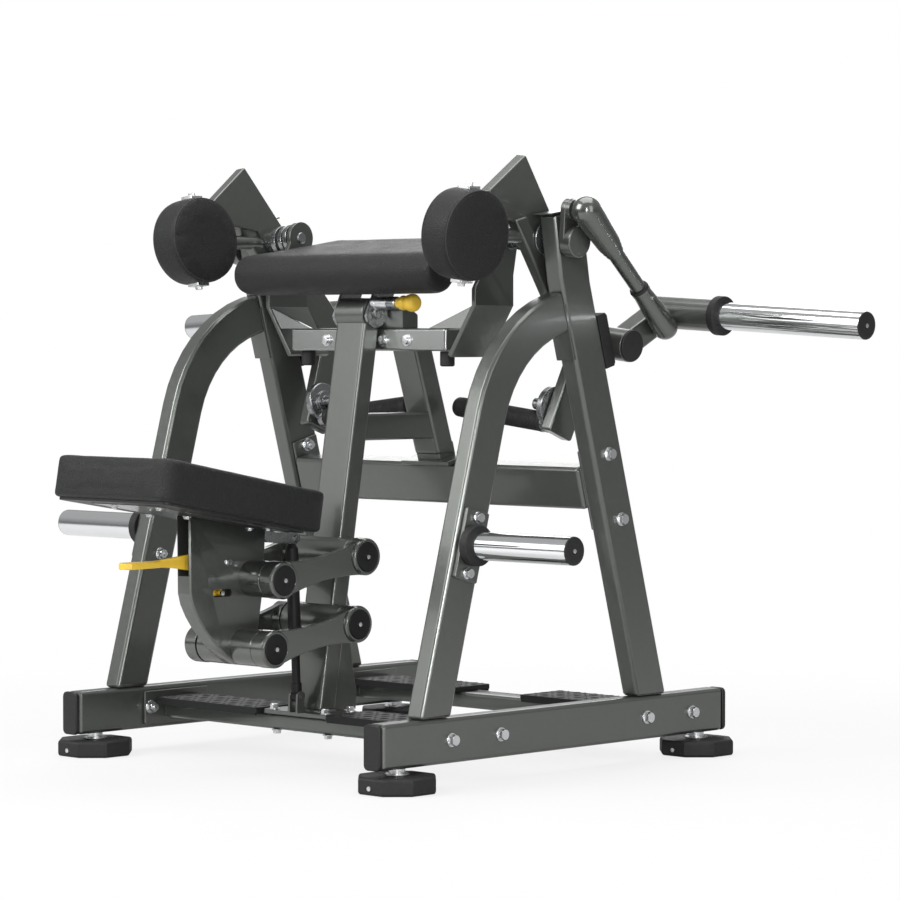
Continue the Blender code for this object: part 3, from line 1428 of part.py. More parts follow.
def release_lever(body, finishes):
    """The yellow lever: pivot eye, tail with its pin and a flat paddle out in front."""
    half = RELEASE_THICK / 2
    arm_outline = [
        (RELEASE_Y + 0.010, RELEASE_Z + 0.010),
        (CARRIAGE_FRONT_Y + 0.010, RELEASE_Z + 0.016),
        (CARRIAGE_FRONT_Y - 0.030, RELEASE_Z + 0.012),
        (RELEASE_TIP_Y + 0.045, RELEASE_Z + 0.005),
        (RELEASE_TIP_Y + 0.045, RELEASE_Z - 0.001),
        (CARRIAGE_FRONT_Y - 0.030, RELEASE_Z - 0.006),
        (CARRIAGE_FRONT_Y + 0.010, RELEASE_Z - 0.012),
        (RELEASE_Y - 0.030, RELEASE_Z - 0.014),
        (RELEASE_Y + SLOT_SET_BACK - 0.012, RELEASE_Z - SLOT_DROP - 0.006),
        (RELEASE_Y + SLOT_SET_BACK + 0.010, RELEASE_Z - SLOT_DROP - 0.006),
        (RELEASE_Y + 0.010, RELEASE_Z - 0.010),
    ]
    blade = shape(prism(arm_outline, -half, half))
    width = RELEASE_PADDLE / 2
    paddle_outline = [
        (-half, RELEASE_TIP_Y + 0.075),
        (half, RELEASE_TIP_Y + 0.075),
        (width * 0.7, RELEASE_TIP_Y + 0.055),
        (width, RELEASE_TIP_Y + 0.030),
        (width * 0.9, RELEASE_TIP_Y + 0.008),
        (width * 0.5, RELEASE_TIP_Y),
        (-width * 0.5, RELEASE_TIP_Y),
        (-width * 0.9, RELEASE_TIP_Y + 0.008),
        (-width, RELEASE_TIP_Y + 0.030),
        (-width * 0.7, RELEASE_TIP_Y + 0.055),
    ]
    paddle = shape(prism(paddle_outline, RELEASE_Z - 0.0005, RELEASE_Z + 0.0055, "XY"))
    tail = shape(
        rod(0.0045, -0.008, CARRIAGE_HALF + 0.001, 0, 12),
        Matrix.Translation((0, RELEASE_Y + SLOT_SET_BACK, RELEASE_Z - SLOT_DROP)),
    )
    axle = shape(
        rod(0.004, -CARRIAGE_HALF, CARRIAGE_HALF + 0.001, 0, 12),
        Matrix.Translation((0, RELEASE_Y, RELEASE_Z)),
    )
    name_piece(weld([blade, paddle, tail, axle]), "release_lever", finishes["yellow"], body)


def seat_cushion(body, finishes):
    """A tapering pad with rounded corners, to be upholstered."""
    corner = SEAT_CORNER
    rear_corner = 0.022
    front, rear = SEAT_FRONT_HALF, SEAT_REAR_HALF
    outline = arc((front - corner, corner), corner, 270, 355, 4)
    outline += arc((rear - rear_corner, SEAT_LENGTH - rear_corner), rear_corner, 0, 90, 3)
    outline += arc((-rear + rear_corner, SEAT_LENGTH - rear_corner), rear_corner, 90, 180, 3)
    outline += arc((-front + corner, corner), corner, 185, 270, 4)
    pad = shape(prism(outline, -SEAT_THICK, 0, "XY"), seat_matrix(0))
    soften(pad, 0.009, 2, 60)
    name_piece(pad, "seat_cushion", finishes["leather"], body)


def gas_direction():
    run = Vector((0, GAS_TOP_Y - GAS_FOOT_Y, GAS_TOP_Z - GAS_FOOT_Z))
    return run.normalized(), run.length


def gas_rod(body, finishes):
    """The rod, with the eye that turns on the clevis pin at the column's base."""
    step, _ = gas_direction()
    place = aim(step, (0, GAS_FOOT_Y, GAS_FOOT_Z))
    eye = shape(
        rod(GAS_EYE_RADIUS - 0.003, -GAS_EYE_WIDTH / 2, GAS_EYE_WIDTH / 2, 0.001, 16),
        Matrix.Translation((0, GAS_FOOT_Y, GAS_FOOT_Z)),
    )
    bar = shape(rod(GAS_ROD_RADIUS, 0, GAS_ROD_LENGTH, 0, 12), place)
    whole = weld([eye, bar])
    cut(
        whole,
        shape(
            rod(GAS_PIN_RADIUS + RUN, -0.02, 0.02, 0, 16),
            Matrix.Translation((0, GAS_FOOT_Y, GAS_FOOT_Z)),
        ),
    )
    name_piece(whole, "gas_rod", finishes["chrome"], body)


def gas_cylinder(body, finishes):
    """The spring's tube, open below for the rod, with a wide eye on top."""
    step, length = gas_direction()
    place = aim(step, (0, GAS_FOOT_Y, GAS_FOOT_Z))
    start = length - GAS_EYE_RADIUS - GAS_BODY_LENGTH
    tube = shape(
        turned(
            [
                (start, GAS_BODY_RADIUS - 0.003),
                (start + 0.004, GAS_BODY_RADIUS),
                (length - GAS_EYE_RADIUS - 0.006, GAS_BODY_RADIUS),
                (length - GAS_EYE_RADIUS + 0.003, 0.006),
            ],
            16,
        ),
        place,
    )
    eye = shape(
        rod(GAS_EYE_RADIUS, -GAS_EYE_WIDTH / 2, GAS_EYE_WIDTH / 2, 0.001, 20),
        Matrix.Translation((0, GAS_TOP_Y, GAS_TOP_Z)),
    )
    whole = weld([tube, eye])
    cut(
        whole,
        shape(rod(GAS_ROD_RADIUS + RUN, 0, length - GAS_EYE_RADIUS - 0.012, 0, 12), place),
        shape(
            rod(GAS_EYE_BORE, -0.02, 0.02, 0, 20), Matrix.Translation((0, GAS_TOP_Y, GAS_TOP_Z))
        ),
    )
    name_piece(whole, "gas_cylinder", finishes["plastic"], body)


def gas_clevis():
    """The clevis on the column's base plate, with its cross pin."""
    floor = CROSS_TOP + CLEAR + COLUMN_BASE_THICK - SINK
    parts = []
    for side in (1, -1):
        low_x, high_x = sorted((side * (GAS_EYE_WIDTH / 2 + 0.0015), side * (GAS_EYE_WIDTH / 2 + 0.0015 + CLEVIS_WALL)))
        outline = [(GAS_FOOT_Y - 0.011, floor), (GAS_FOOT_Y + 0.011, floor)]
        outline += arc((GAS_FOOT_Y, GAS_FOOT_Z), 0.010, 0, 180, 6)
        parts.append(shape(prism(outline, low_x, high_x)))
    parts.append(
        shape(
            rod(GAS_PIN_RADIUS, -0.015, 0.015, 0, 16),
            Matrix.Translation((0, GAS_FOOT_Y, GAS_FOOT_Z)),
        )
    )
    return parts


def arm_pad_outline():
    """Side view of the arm pad: a round front roll, lower than the board that rises rearwards."""
    tilt = math.radians(ARM_PAD_TILT)
    rise = np.array([math.cos(tilt), math.sin(tilt)])
    up = np.array([-rise[1], rise[0]])
    centre = np.array([ARM_PAD_ROLL_Y, ARM_PAD_ROLL_Z])
    top_start = centre + ARM_PAD_ROLL * up
    run = (ARM_PAD_REAR_Y - top_start[0]) / rise[0]
    top_end = top_start + run * rise
    low_end = top_end - ARM_PAD_REAR_THICK * up
    begin = 90 + ARM_PAD_TILT
    lap = math.degrees(math.asin((ARM_PAD_REAR_THICK - ARM_PAD_ROLL) / ARM_PAD_ROLL))
    roll = arc(centre, ARM_PAD_ROLL, begin, 360 + ARM_PAD_TILT - lap, 14)
    return roll + [tuple(low_end), tuple(top_end)]


def arm_pad(body, finishes):
    """A closed pad as wide as the yoke, its rear corners cut off in plan."""
    pad = soften(shape(prism(arm_pad_outline(), -ARM_PAD_HALF, ARM_PAD_HALF)), 0.008, 2, 40)
    cuts = []
    reach = ARM_PAD_CHAMFER
    for side in (1, -1):
        corner = [
            (side * (ARM_PAD_HALF + 0.02), ARM_PAD_REAR_Y + 0.04),
            (side * (ARM_PAD_HALF - reach - 0.02), ARM_PAD_REAR_Y + 0.04),
            (side * (ARM_PAD_HALF - reach), ARM_PAD_REAR_Y),
            (side * ARM_PAD_HALF, ARM_PAD_REAR_Y - reach * 0.75),
            (side * (ARM_PAD_HALF + 0.02), ARM_PAD_REAR_Y - reach * 0.75 - 0.015),
        ]
        cuts.append(shape(prism(corner, 0.8, 1.1, "XY")))
    cut(pad, *cuts)
    name_piece(pad, "arm_pad", finishes["leather"], body)


def pad_underside(y):
    """Height of the pad's underside at a distance Y."""
    outline = arm_pad_outline()
    low_end = np.array(outline[-2])
    low_start = np.array(outline[-3])
    share = (y - low_start[0]) / (low_end[0] - low_start[0])
    return low_start[1] + share * (low_end[1] - low_start[1])


def pad_bracket(body, finishes):
    """Two cheeks on the head, joined by their pin, under a plate screwed to the pad."""
    gap = COLUMN_WIDTH / 2 + CHEEK_GAP
    near, far = arm_pad_outline()[-3][0] + PAD_PLATE_START, ARM_PAD_REAR_Y - 0.060
    thick = 0.005
    low = pad_underside(near) - CLEAR
    high = pad_underside(far) - CLEAR
    plate = shape(
        prism(
            [(near, low), (far, high), (far, high - thick), (near, low - thick)],
            -PAD_PLATE_HALF,
            PAD_PLATE_HALF,
        )
    )
    parts = [plate]
    for side in (1, -1):
        low_x, high_x = sorted((side * gap, side * (gap + CHEEK_THICK)))
        outline = arc((HEAD_Y, HEAD_Z), CHEEK_RADIUS, 190, 340, 8)
        outline += [
            (HEAD_Y + 0.060, pad_underside(HEAD_Y + 0.060) - 0.003),
            (near + 0.002, pad_underside(near + 0.002) - 0.003),
        ]
        parts.append(shape(prism(outline, low_x, high_x)))
    parts.append(
        shape(
            rod(HEAD_BORE, -gap - CHEEK_THICK - 0.006, gap + CHEEK_THICK + 0.006, 0.001, 20),
            Matrix.Translation((0, HEAD_Y, HEAD_Z)),
        )
    )
    plunger = (0, HEAD_Y + PLUNGER_Y, HEAD_Z + PLUNGER_Z)
    outer = gap + CHEEK_THICK
    parts.append(
        shape(
            rod(0.012, outer - SINK, outer + PLUNGER_HOUSING, 0.0015, 16),
            Matrix.Translation(plunger),
        )
    )
    whole = weld(parts)
    cut(
        whole,
        shape(
            rod(PLUNGER_RADIUS + RUN, 0, outer + PLUNGER_HOUSING + 0.01, 0, 16),
            Matrix.Translation(plunger),
        ),
    )
    name_piece(whole, "pad_bracket", finishes["steel"], body)


def pull_pin(body, finishes):
    """The spring plunger with its yellow knob, its nose level with the cheek's inner face."""
    inner = COLUMN_WIDTH / 2 + CHEEK_GAP
    outer = inner + CHEEK_THICK + PLUNGER_HOUSING + CLEAR
    plunger = (0, HEAD_Y + PLUNGER_Y, HEAD_Z + PLUNGER_Z)
    profile = [
        (inner, PLUNGER_RADIUS - 0.001),
        (inner + 0.001, PLUNGER_RADIUS),
        (outer, PLUNGER_RADIUS),
        (outer, 0.010),
        (outer + 0.012, 0.010),
        (outer + 0.015, 0.0135),
        (outer + 0.020, 0.012),
        (outer + 0.026, 0.0125),
        (outer + 0.034, KNOB_RADIUS),
        (outer + KNOB_LENGTH - 0.008, KNOB_RADIUS),
        (outer + KNOB_LENGTH - 0.002, KNOB_RADIUS - 0.005),
        (outer + KNOB_LENGTH, KNOB_RADIUS - 0.010),
    ]
    made = shape(turned(profile, 20), Matrix.Translation(plunger))
    name_piece(made, "pull_pin", finishes["yellow"], body)


def centre_footprint(root):
    """Moves the whole machine so that the middle of its footprint is the origin."""
    bpy.context.view_layer.update()
    ends = []
    for piece in bpy.data.objects:
        if piece.type == "MESH":
            ends += [(piece.matrix_world @ Vector(corner)).y for corner in piece.bound_box]
    root["empty"].location.y = -(min(ends) + max(ends)) / 2


def build():
    clear_scene()
    finishes = make_finishes()
    root = pivot("machine", Matrix.Identity(4))

    for side in (1, -1):
        base_beam(side, root, finishes)
        for end in ("front", "rear"):
            beam_cap(side, end, root, finishes)
            foot(side, end, root, finishes)
            tread_plate(side, end, root, finishes)
        front_leg(side, root, finishes)
        rear_leg(side, root, finishes)
        yoke_buffer(side, root, finishes)
        arm_stop(side, root, finishes)
        storage_horn(side, root, finishes)
    base_cross("front", root, finishes)
    base_cross("rear", root, finishes)
    upper_cross_beam(root, finishes)
    centre_frame(root, finishes)
    arm_yoke(root, finishes)

    for side in (1, -1):
        name = SIDE_NAMES[side]
        arm = pivot(f"arm_axis_{name}", arm_frame_matrix(side), root)
        arm_frame(side, arm, finishes)
        elbow_shaft(side, arm, finishes)
        crank(side, arm, finishes)
        brace_rod(side, arm, finishes)
        weight_horn(side, arm, finishes)
        round_pad(side, arm, finishes)
        grip = pivot(f"grip_axis_{name}", swivel_matrix(side), arm)
        hand_grip(side, grip, finishes)

    upper_rear, lower_rear = seat_rear_pivots()
    upper_front, lower_front = seat_front_pivots()
    upper = pivot("upper_link_axis", Matrix.Translation((0, *upper_rear)), root)
    lower = pivot("lower_link_axis", Matrix.Translation((0, *lower_rear)), root)
    carriage = pivot("carriage_axis", Matrix.Translation((0, *upper_front)), upper)
    seat_link("seat_link_upper", upper_rear, upper_front, upper, finishes)
    seat_link("seat_link_lower", lower_rear, lower_front, lower, finishes)
    seat_carriage(carriage, finishes)
    seat_cushion(carriage, finishes)
    release = pivot("release_axis", Matrix.Translation((0, RELEASE_Y, RELEASE_Z)), carriage)
    release_lever(release, finishes)
    rod_body = pivot("gas_foot_axis", Matrix.Translation((0, GAS_FOOT_Y, GAS_FOOT_Z)), root)
    gas_rod(rod_body, finishes)
    gas_cylinder(rod_body, finishes)

    pad_body = pivot("arm_pad_axis", Matrix.Translation((0, HEAD_Y, HEAD_Z)), root)
    arm_pad(pad_body, finishes)
    pad_bracket(pad_body, finishes)
    plunger_at = (0, HEAD_Y + PLUNGER_Y, HEAD_Z + PLUNGER_Z)
    pull_pin(pivot("pull_pin_axis", Matrix.Translation(plunger_at), pad_body), finishes)

    centre_footprint(root)


build()
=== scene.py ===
"""Looks of a plate-loaded biceps machine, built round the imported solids.

Sizes and places are in metres. Places are in the workshop frame of the part's source (X from
the middle plane, Y from the front ends of the base beams, Z from the floor), and on an arm in
the right arm's own frame (X along the elbow's axis, from the elbow). SHOP and ARM carry the
two into the scene, and SEAT carries the seat's own frame (X across, Y back along the
cushion's top, Z square to it) into the workshop's. The left side mirrors the right.
"""

import json
import math

import bmesh
import bpy
import numpy as np
from bpy.props import FloatProperty, FloatVectorProperty, IntProperty, PointerProperty
from mathutils import Matrix, Vector
from mathutils.geometry import tessellate_polygon

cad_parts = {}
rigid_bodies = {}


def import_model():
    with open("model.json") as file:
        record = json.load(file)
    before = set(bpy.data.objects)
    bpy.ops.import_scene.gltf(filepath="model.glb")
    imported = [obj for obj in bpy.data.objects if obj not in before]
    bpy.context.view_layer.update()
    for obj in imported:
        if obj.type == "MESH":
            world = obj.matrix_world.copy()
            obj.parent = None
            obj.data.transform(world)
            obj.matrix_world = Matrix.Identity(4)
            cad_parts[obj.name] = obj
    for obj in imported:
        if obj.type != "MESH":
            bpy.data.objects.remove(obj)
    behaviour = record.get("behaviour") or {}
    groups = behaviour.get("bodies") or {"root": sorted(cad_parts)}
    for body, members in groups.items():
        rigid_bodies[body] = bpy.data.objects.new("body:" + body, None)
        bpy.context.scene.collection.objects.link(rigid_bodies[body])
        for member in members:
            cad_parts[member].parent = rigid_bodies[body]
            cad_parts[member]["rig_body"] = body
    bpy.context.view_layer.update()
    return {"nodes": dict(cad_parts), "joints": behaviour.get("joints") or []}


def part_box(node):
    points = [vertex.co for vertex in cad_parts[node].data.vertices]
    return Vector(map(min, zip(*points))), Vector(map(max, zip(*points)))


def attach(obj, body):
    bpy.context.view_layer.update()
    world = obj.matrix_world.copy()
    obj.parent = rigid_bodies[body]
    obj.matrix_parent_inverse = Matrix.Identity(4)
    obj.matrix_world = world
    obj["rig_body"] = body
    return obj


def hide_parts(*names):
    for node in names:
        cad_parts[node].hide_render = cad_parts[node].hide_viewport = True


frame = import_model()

bl_info = {
    "name": "Biceps machine dresser",
    "version": (1, 0, 0),
    "blender": (4, 5, 0),
    "location": "View3D > Sidebar > Machine",
    "description": "Builds the visible pieces and finishes of a plate-loaded biceps machine",
    "category": "Object",
}

NODES = frame["nodes"]
JOINTS = {joint["name"]: joint for joint in frame["joints"]}
SIDES = {1: "right", -1: "left"}
SHOP = Matrix.Translation((0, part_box("beam_cap_front_right")[0].y, 0))
ELBOW = Vector(JOINTS["arm_right_curl"]["pos_m"])
ELBOW_TILT = -math.asin(Vector(JOINTS["arm_right_curl"]["axis"]).z)
ARM = Matrix.Translation(ELBOW) @ Matrix.Rotation(ELBOW_TILT, 4, "Y")
SEAT_TILT = math.radians(10.0)
SEAT_FRONT_Y, SEAT_FRONT_Z = -0.240, 0.572
SEAT = Matrix.Translation((0, SEAT_FRONT_Y, SEAT_FRONT_Z)) @ Matrix.Rotation(-SEAT_TILT, 4, "X")


def colour(name, description, default):
    return FloatVectorProperty(
        name=name, description=description, subtype="COLOR", default=default, min=0, max=1
    )


def length(name, description, default, low, high):
    return FloatProperty(
        name=name, description=description, default=default, min=low, max=high, unit="LENGTH"
    )


class MachineColours(bpy.types.PropertyGroup):
    """Base colours of the finishes"""

    paint: colour("Paint", "Metallic powder coat of the frame", (0.112, 0.119, 0.110))
    leather: colour("Upholstery", "Leather-look cover of the pads", (0.0098, 0.0101, 0.0101))
    chrome: colour("Chrome", "Weight and storage horns, plunger rod", (0.77, 0.78, 0.79))
    zinc: colour("Zinc", "Bolts, nuts and washers", (0.66, 0.67, 0.68))
    turned: colour("Turned steel", "Shafts, swivel discs and brackets", (0.27, 0.275, 0.28))
    rubber: colour("Rubber", "Feet, stops and grip sleeves", (0.012, 0.012, 0.0125))
    plastic: colour("Plastic", "Moulded end caps", (0.013, 0.013, 0.0135))
    yellow: colour("Yellow", "Release lever and pull knob", (0.70, 0.455, 0.04))


class MachineSizes(bpy.types.PropertyGroup):
    """Sizes of what is added to the solids"""

    round_edge: length(
        "Tube edge", "Radius rounded onto the edges of the tubes", 0.0022, 0.0002, 0.01
    )
    fine_edge: length(
        "Plate edge", "Radius rounded onto the edges of cut plate", 0.0009, 0.0001, 0.01
    )
    bolt_flats: length(
        "Bolt head", "Width over the flats of the frame bolts", 0.018, 0.006, 0.04
    )
    screw_flats: length(
        "Small bolt head", "Width over the flats of the small bolts", 0.012, 0.004, 0.03
    )
    weld: length("Weld", "Radius of the weld bead", 0.0028, 0.0005, 0.01)
    swell: length("Pad swell", "Most that a point of a pad moves as it fills", 0.004, 0, 0.03)
    segments: IntProperty(
        name="Segments", description="Sides of a turned piece", default=64, min=16, max=256
    )


class MachineStage(bpy.types.PropertyGroup):
    """Camera and lamps"""

    lens: FloatProperty(
        name="Lens", description="Focal length on a 36 mm sensor, in millimetres",
        default=142.29, min=20, max=400,
    )
    azimuth: FloatProperty(
        name="Azimuth", description="Direction of the view round the machine",
        default=math.radians(44.22), subtype="ANGLE", unit="ROTATION",
    )
    pitch: FloatProperty(
        name="Pitch", description="Angle by which the camera looks down",
        default=math.radians(1.853), subtype="ANGLE", unit="ROTATION",
    )
    lamp: FloatProperty(
        name="Lamps", description="Share of the soft boxes' power", default=1.0, min=0, max=10
    )


def settings():
    scene = bpy.context.scene
    return scene.machine_colours, scene.machine_sizes, scene.machine_stage


# Geometry: surfaces are (points, faces) pairs, worked out as whole arrays

POLE = 1e-5
STEPS_ROUND_A_CORNER = 5
TURN_LEFT_SHARP = 12


def facing_out(points, faces):
    """Turns a closed surface right side out: its volume, summed as signed tetrahedra
    over the fans of all faces, has to be positive."""
    total = 0.0
    sizes = {}
    for face in faces:
        sizes.setdefault(len(face), []).append(face)
    for size, group in sizes.items():
        corners = points[np.array(group)]
        for k in range(1, size - 1):
            cross = np.cross(corners[:, k], corners[:, k + 1])
            total += np.einsum("ij,ij->", corners[:, 0], cross)
    return faces if total > 0 else [tuple(face[::-1]) for face in faces]


def grid_faces(rows, columns, wrap_rows=False):
    """Quads of a grid of points, row by row. The columns close round, and so may the rows."""
    i = np.arange(rows if wrap_rows else rows - 1)
    i, j = (a.ravel() for a in np.meshgrid(i, np.arange(columns), indexing="ij"))
    i2, j2 = (i + 1) % rows, (j + 1) % columns
    quads = np.stack([i * columns + j, i * columns + j2, i2 * columns + j2, i2 * columns + j])
    return [tuple(q) for q in quads.T.tolist()]


def tube_faces(rows, columns):
    """Quads of a closed tube of rings, with a flat face at each end."""
    first, last = range(columns), range((rows - 1) * columns, rows * columns)
    return grid_faces(rows, columns) + [tuple(first)[::-1], tuple(last)]


def axes_of(step):
    """Three unit vectors of a right-handed set whose first is the given direction."""
    e = np.array(step, float)
    e /= np.linalg.norm(e)
    guide = np.array([0.0, 0.0, 1.0]) if abs(e[2]) < 0.9 else np.array([1.0, 0.0, 0.0])
    u = np.cross(guide, e)
    u /= np.linalg.norm(u)
    return e, u, np.cross(e, u)


def spun(x, r, start, step):
    """P(i, j) = start + x_i e + r_ij (cos a_j u + sin a_j v): rings square to a direction e,
    with a radius for each of their points, and a_j from 0 to a full turn."""
    e, u, v = axes_of(step)
    a = 2 * math.pi * np.arange(r.shape[1]) / r.shape[1]
    ring = np.cos(a)[:, None] * u + np.sin(a)[:, None] * v
    points = np.array(start, float) + x[:, None, None] * e + r[:, :, None] * ring
    return points.reshape(-1, 3)


def radii_round(profile, sides):
    """The x of each (x, r) pair of a profile, and its r repeated for each side."""
    x, r = np.array(profile, float).T
    sides = sides or bpy.context.scene.machine_sizes.segments
    return x, np.repeat(r[:, None], sides, 1)


def turned(profile, start, step, sides=None):
    """An (x, r) profile spun about a direction. Ends with r > 0 get a flat face."""
    x, r = radii_round(profile, sides)
    points = spun(x, np.maximum(r, POLE), start, step)
    return points, facing_out(points, tube_faces(*r.shape))


def turned_ring(section, start, step, sides=None):
    """As turned, for a closed (x, r) section that doesn't reach the axis, such as a ring."""
    x, r = radii_round(section, sides)
    points = spun(x, r, start, step)
    return points, facing_out(points, grid_faces(*r.shape, wrap_rows=True))


def rod(low, high, radius, start, step, sides=None, edge=0.0):
    """A plain round bar between two distances along a direction, its rims rounded."""
    profile = [(low, 0), (low, radius), (high, radius), (high, 0)]
    return turned(rounded(profile, edge) if edge else profile, start, step, sides)


def rounded(profile, radius, steps=4):
    """Rounds the inner corners of an (x, r) profile: each corner gives way to a quadratic
    curve between two points that lie a radius away from it along its two sides."""
    p = np.array(profile, float)
    out = [p[0]]
    for a, b, c in zip(p, p[1:], p[2:]):
        reach_a = min(radius, np.linalg.norm(a - b) * 0.45)
        reach_c = min(radius, np.linalg.norm(c - b) * 0.45)
        start = b + (a - b) / max(np.linalg.norm(a - b), 1e-9) * reach_a
        end = b + (c - b) / max(np.linalg.norm(c - b), 1e-9) * reach_c
        t = np.linspace(0, 1, steps + 1)[:, None]
        out += list((1 - t) ** 2 * start + 2 * t * (1 - t) * b + t**2 * end)
    out.append(p[-1])
    return np.array(out)


HEAD_SIDES = 36
HEAD_HEIGHTS_AND_CUTS = ((0, 1.2), (0.72, 1.0), (0.9, 0.955), (1.0, 0.87))
DOME_SHARES = (0.5, 0.85)


def bolt_head(at, step, flats, height, washer=0.0, washer_height=0.0, domed=False):
    """A bolt head. Each ring's radius is the smaller of a hexagon's, apothem / cos of the
    angle from the nearest flat, and a cone's that breaks the corners. A round washer
    stands below it, and a domed head is round, with two more rings on its top."""
    a = 2 * math.pi * np.arange(HEAD_SIDES) / HEAD_SIDES
    off_flat = (a + math.pi / 6) % (math.pi / 3) - math.pi / 6
    side = np.full(HEAD_SIDES, flats / 2) if domed else flats / 2 / np.cos(off_flat)
    corner = flats / 2 / math.cos(math.pi / 6)
    base, rings = 0.0, []
    if washer:
        base = washer_height
        rim = ((0, washer), (washer_height * 0.7, washer), (washer_height, washer * 0.95))
        rings += [(x, np.full(HEAD_SIDES, r)) for x, r in rim]
    rings += [
        (base + share * height, np.minimum(side, corner * cut))
        for share, cut in HEAD_HEIGHTS_AND_CUTS
    ]
    if domed:
        rings += [
            (base + height * (1 + 0.12 * share),
             np.full(HEAD_SIDES, flats / 2 * (0.87 - 0.5 * share)))
            for share in DOME_SHARES
        ]
    x, r = (np.array(column) for column in zip(*rings))
    points = spun(x, r, at, step)
    return points, facing_out(points, tube_faces(*r.shape))


def swept(path, section, scale):
    """P(i, j) = path_i + s_i (a_j u_i + b_j v_i): a section of (a, b) pairs carried along a
    closed path. u and v start square to the path and are carried on with no twist, and s is
    a size at each point."""
    path = np.array(path, float)
    along = np.roll(path, -1, 0) - np.roll(path, 1, 0)
    along /= np.linalg.norm(along, axis=1)[:, None]
    _, u, _ = axes_of(along[0])
    us = []
    for t in along:
        u = u - (u @ t) * t
        u = u / np.linalg.norm(u)
        us.append(u)
    us = np.array(us)
    vs = np.cross(along, us)
    flat = section[None, :, 0, None] * us[:, None] + section[None, :, 1, None] * vs[:, None]
    points = (path[:, None] + scale[:, None, None] * flat).reshape(-1, 3)
    return points, facing_out(points, grid_faces(len(path), len(section), wrap_rows=True))


def arc(centre, radius, angles):
    """Points of (a, b) pairs on a circle round a centre, at the given angles."""
    return np.array(centre) + radius * np.stack([np.cos(angles), np.sin(angles)], 1)


def circle(centre, radius, count):
    return arc(centre, radius, 2 * math.pi * np.arange(count) / count)


def rectangle(origin, steps, low, high):
    """Corners of a rectangle that reaches from low to high along two steps from an origin."""
    a, b = np.array(steps[0]), np.array(steps[1])
    corners = ((low[0], low[1]), (high[0], low[1]), (high[0], high[1]), (low[0], high[1]))
    return [np.array(origin) + p * a + q * b for p, q in corners]


def joined(*surfaces):
    """Several closed surfaces as one (points, faces) pair."""
    points, faces, start = [], [], 0
    for some, more in surfaces:
        points.append(some)
        faces += [tuple(i + start for i in face) for face in more]
        start += len(some)
    return np.vstack(points), faces


def sided(surface, side):
    """The surface for the right side, or mirrored for the left: X changes sign, and so does
    the order of each face's corners."""
    points, faces = surface
    if side > 0:
        return points, faces
    return points * (-1, 1, 1), [tuple(face[::-1]) for face in faces]


def placed(surface, matrix):
    """A surface carried from its own frame to another by a matrix."""
    points, faces = surface
    m = np.array(matrix)
    return points @ m[:3, :3].T + m[:3, 3], faces


def outline_and_normals(outline):
    """A closed (a, b) outline made anticlockwise, with the step at each point that moves
    both of its sides outwards by one."""
    p = np.array(outline, float)
    nxt = np.roll(p, -1, 0)
    if np.sum(p[:, 0] * nxt[:, 1] - nxt[:, 0] * p[:, 1]) < 0:
        p = p[::-1].copy()
        nxt = np.roll(p, -1, 0)
    ahead = nxt - p
    ahead /= np.linalg.norm(ahead, axis=1)[:, None]
    after = np.stack([ahead[:, 1], -ahead[:, 0]], 1)
    before = np.roll(after, 1, 0)
    dot = np.sum(before * after, 1)
    return p, (before + after) / np.maximum(1 + dot, 0.3)[:, None]


def corners_rounded(outline, radius, steps=STEPS_ROUND_A_CORNER, sharper=TURN_LEFT_SHARP):
    """A closed outline whose corners give way to quadratic curves. The radius may be one
    number or one for each corner, and turns below an angle in degrees stay as they are."""
    p = np.array(outline, float)
    a, c = np.roll(p, 1, 0), np.roll(p, -1, 0)
    la, lc = np.linalg.norm(a - p, axis=1), np.linalg.norm(c - p, axis=1)
    ua, uc = (a - p) / la[:, None], (c - p) / lc[:, None]
    turn = np.degrees(np.arccos(np.clip(-np.sum(ua * uc, 1), -1, 1)))
    reach = np.minimum(np.minimum(np.broadcast_to(radius, len(p)), 0.45 * la), 0.45 * lc)
    reach = np.where(turn > sharper, reach, 0)[:, None]
    t = np.linspace(0, 1, steps + 1)[:, None, None]
    curve = (1 - t) ** 2 * (p + ua * reach) + 2 * t * (1 - t) * p + t**2 * (p + uc * reach)
    points = curve.transpose(1, 0, 2).reshape(-1, 2)
    apart = np.linalg.norm(points - np.roll(points, 1, 0), axis=1) > 1e-7
    return points[apart]


def end_faces(outline, rows):
    """Triangles that fill a closed anticlockwise outline, turned over for the first ring of
    a tube of rings and as they are for its last."""
    fill = np.array(tessellate_polygon([[Vector((a, b, 0)) for a, b in outline]]))
    one, two, three = (outline[fill[:, k]] for k in range(3))
    over = (two - one)[:, 0] * (three - one)[:, 1] < (two - one)[:, 1] * (three - one)[:, 0]
    fill[over] = fill[over][:, ::-1]
    last = fill + (rows - 1) * len(outline)
    return [tuple(corners) for corners in np.vstack([fill[:, ::-1], last]).tolist()]


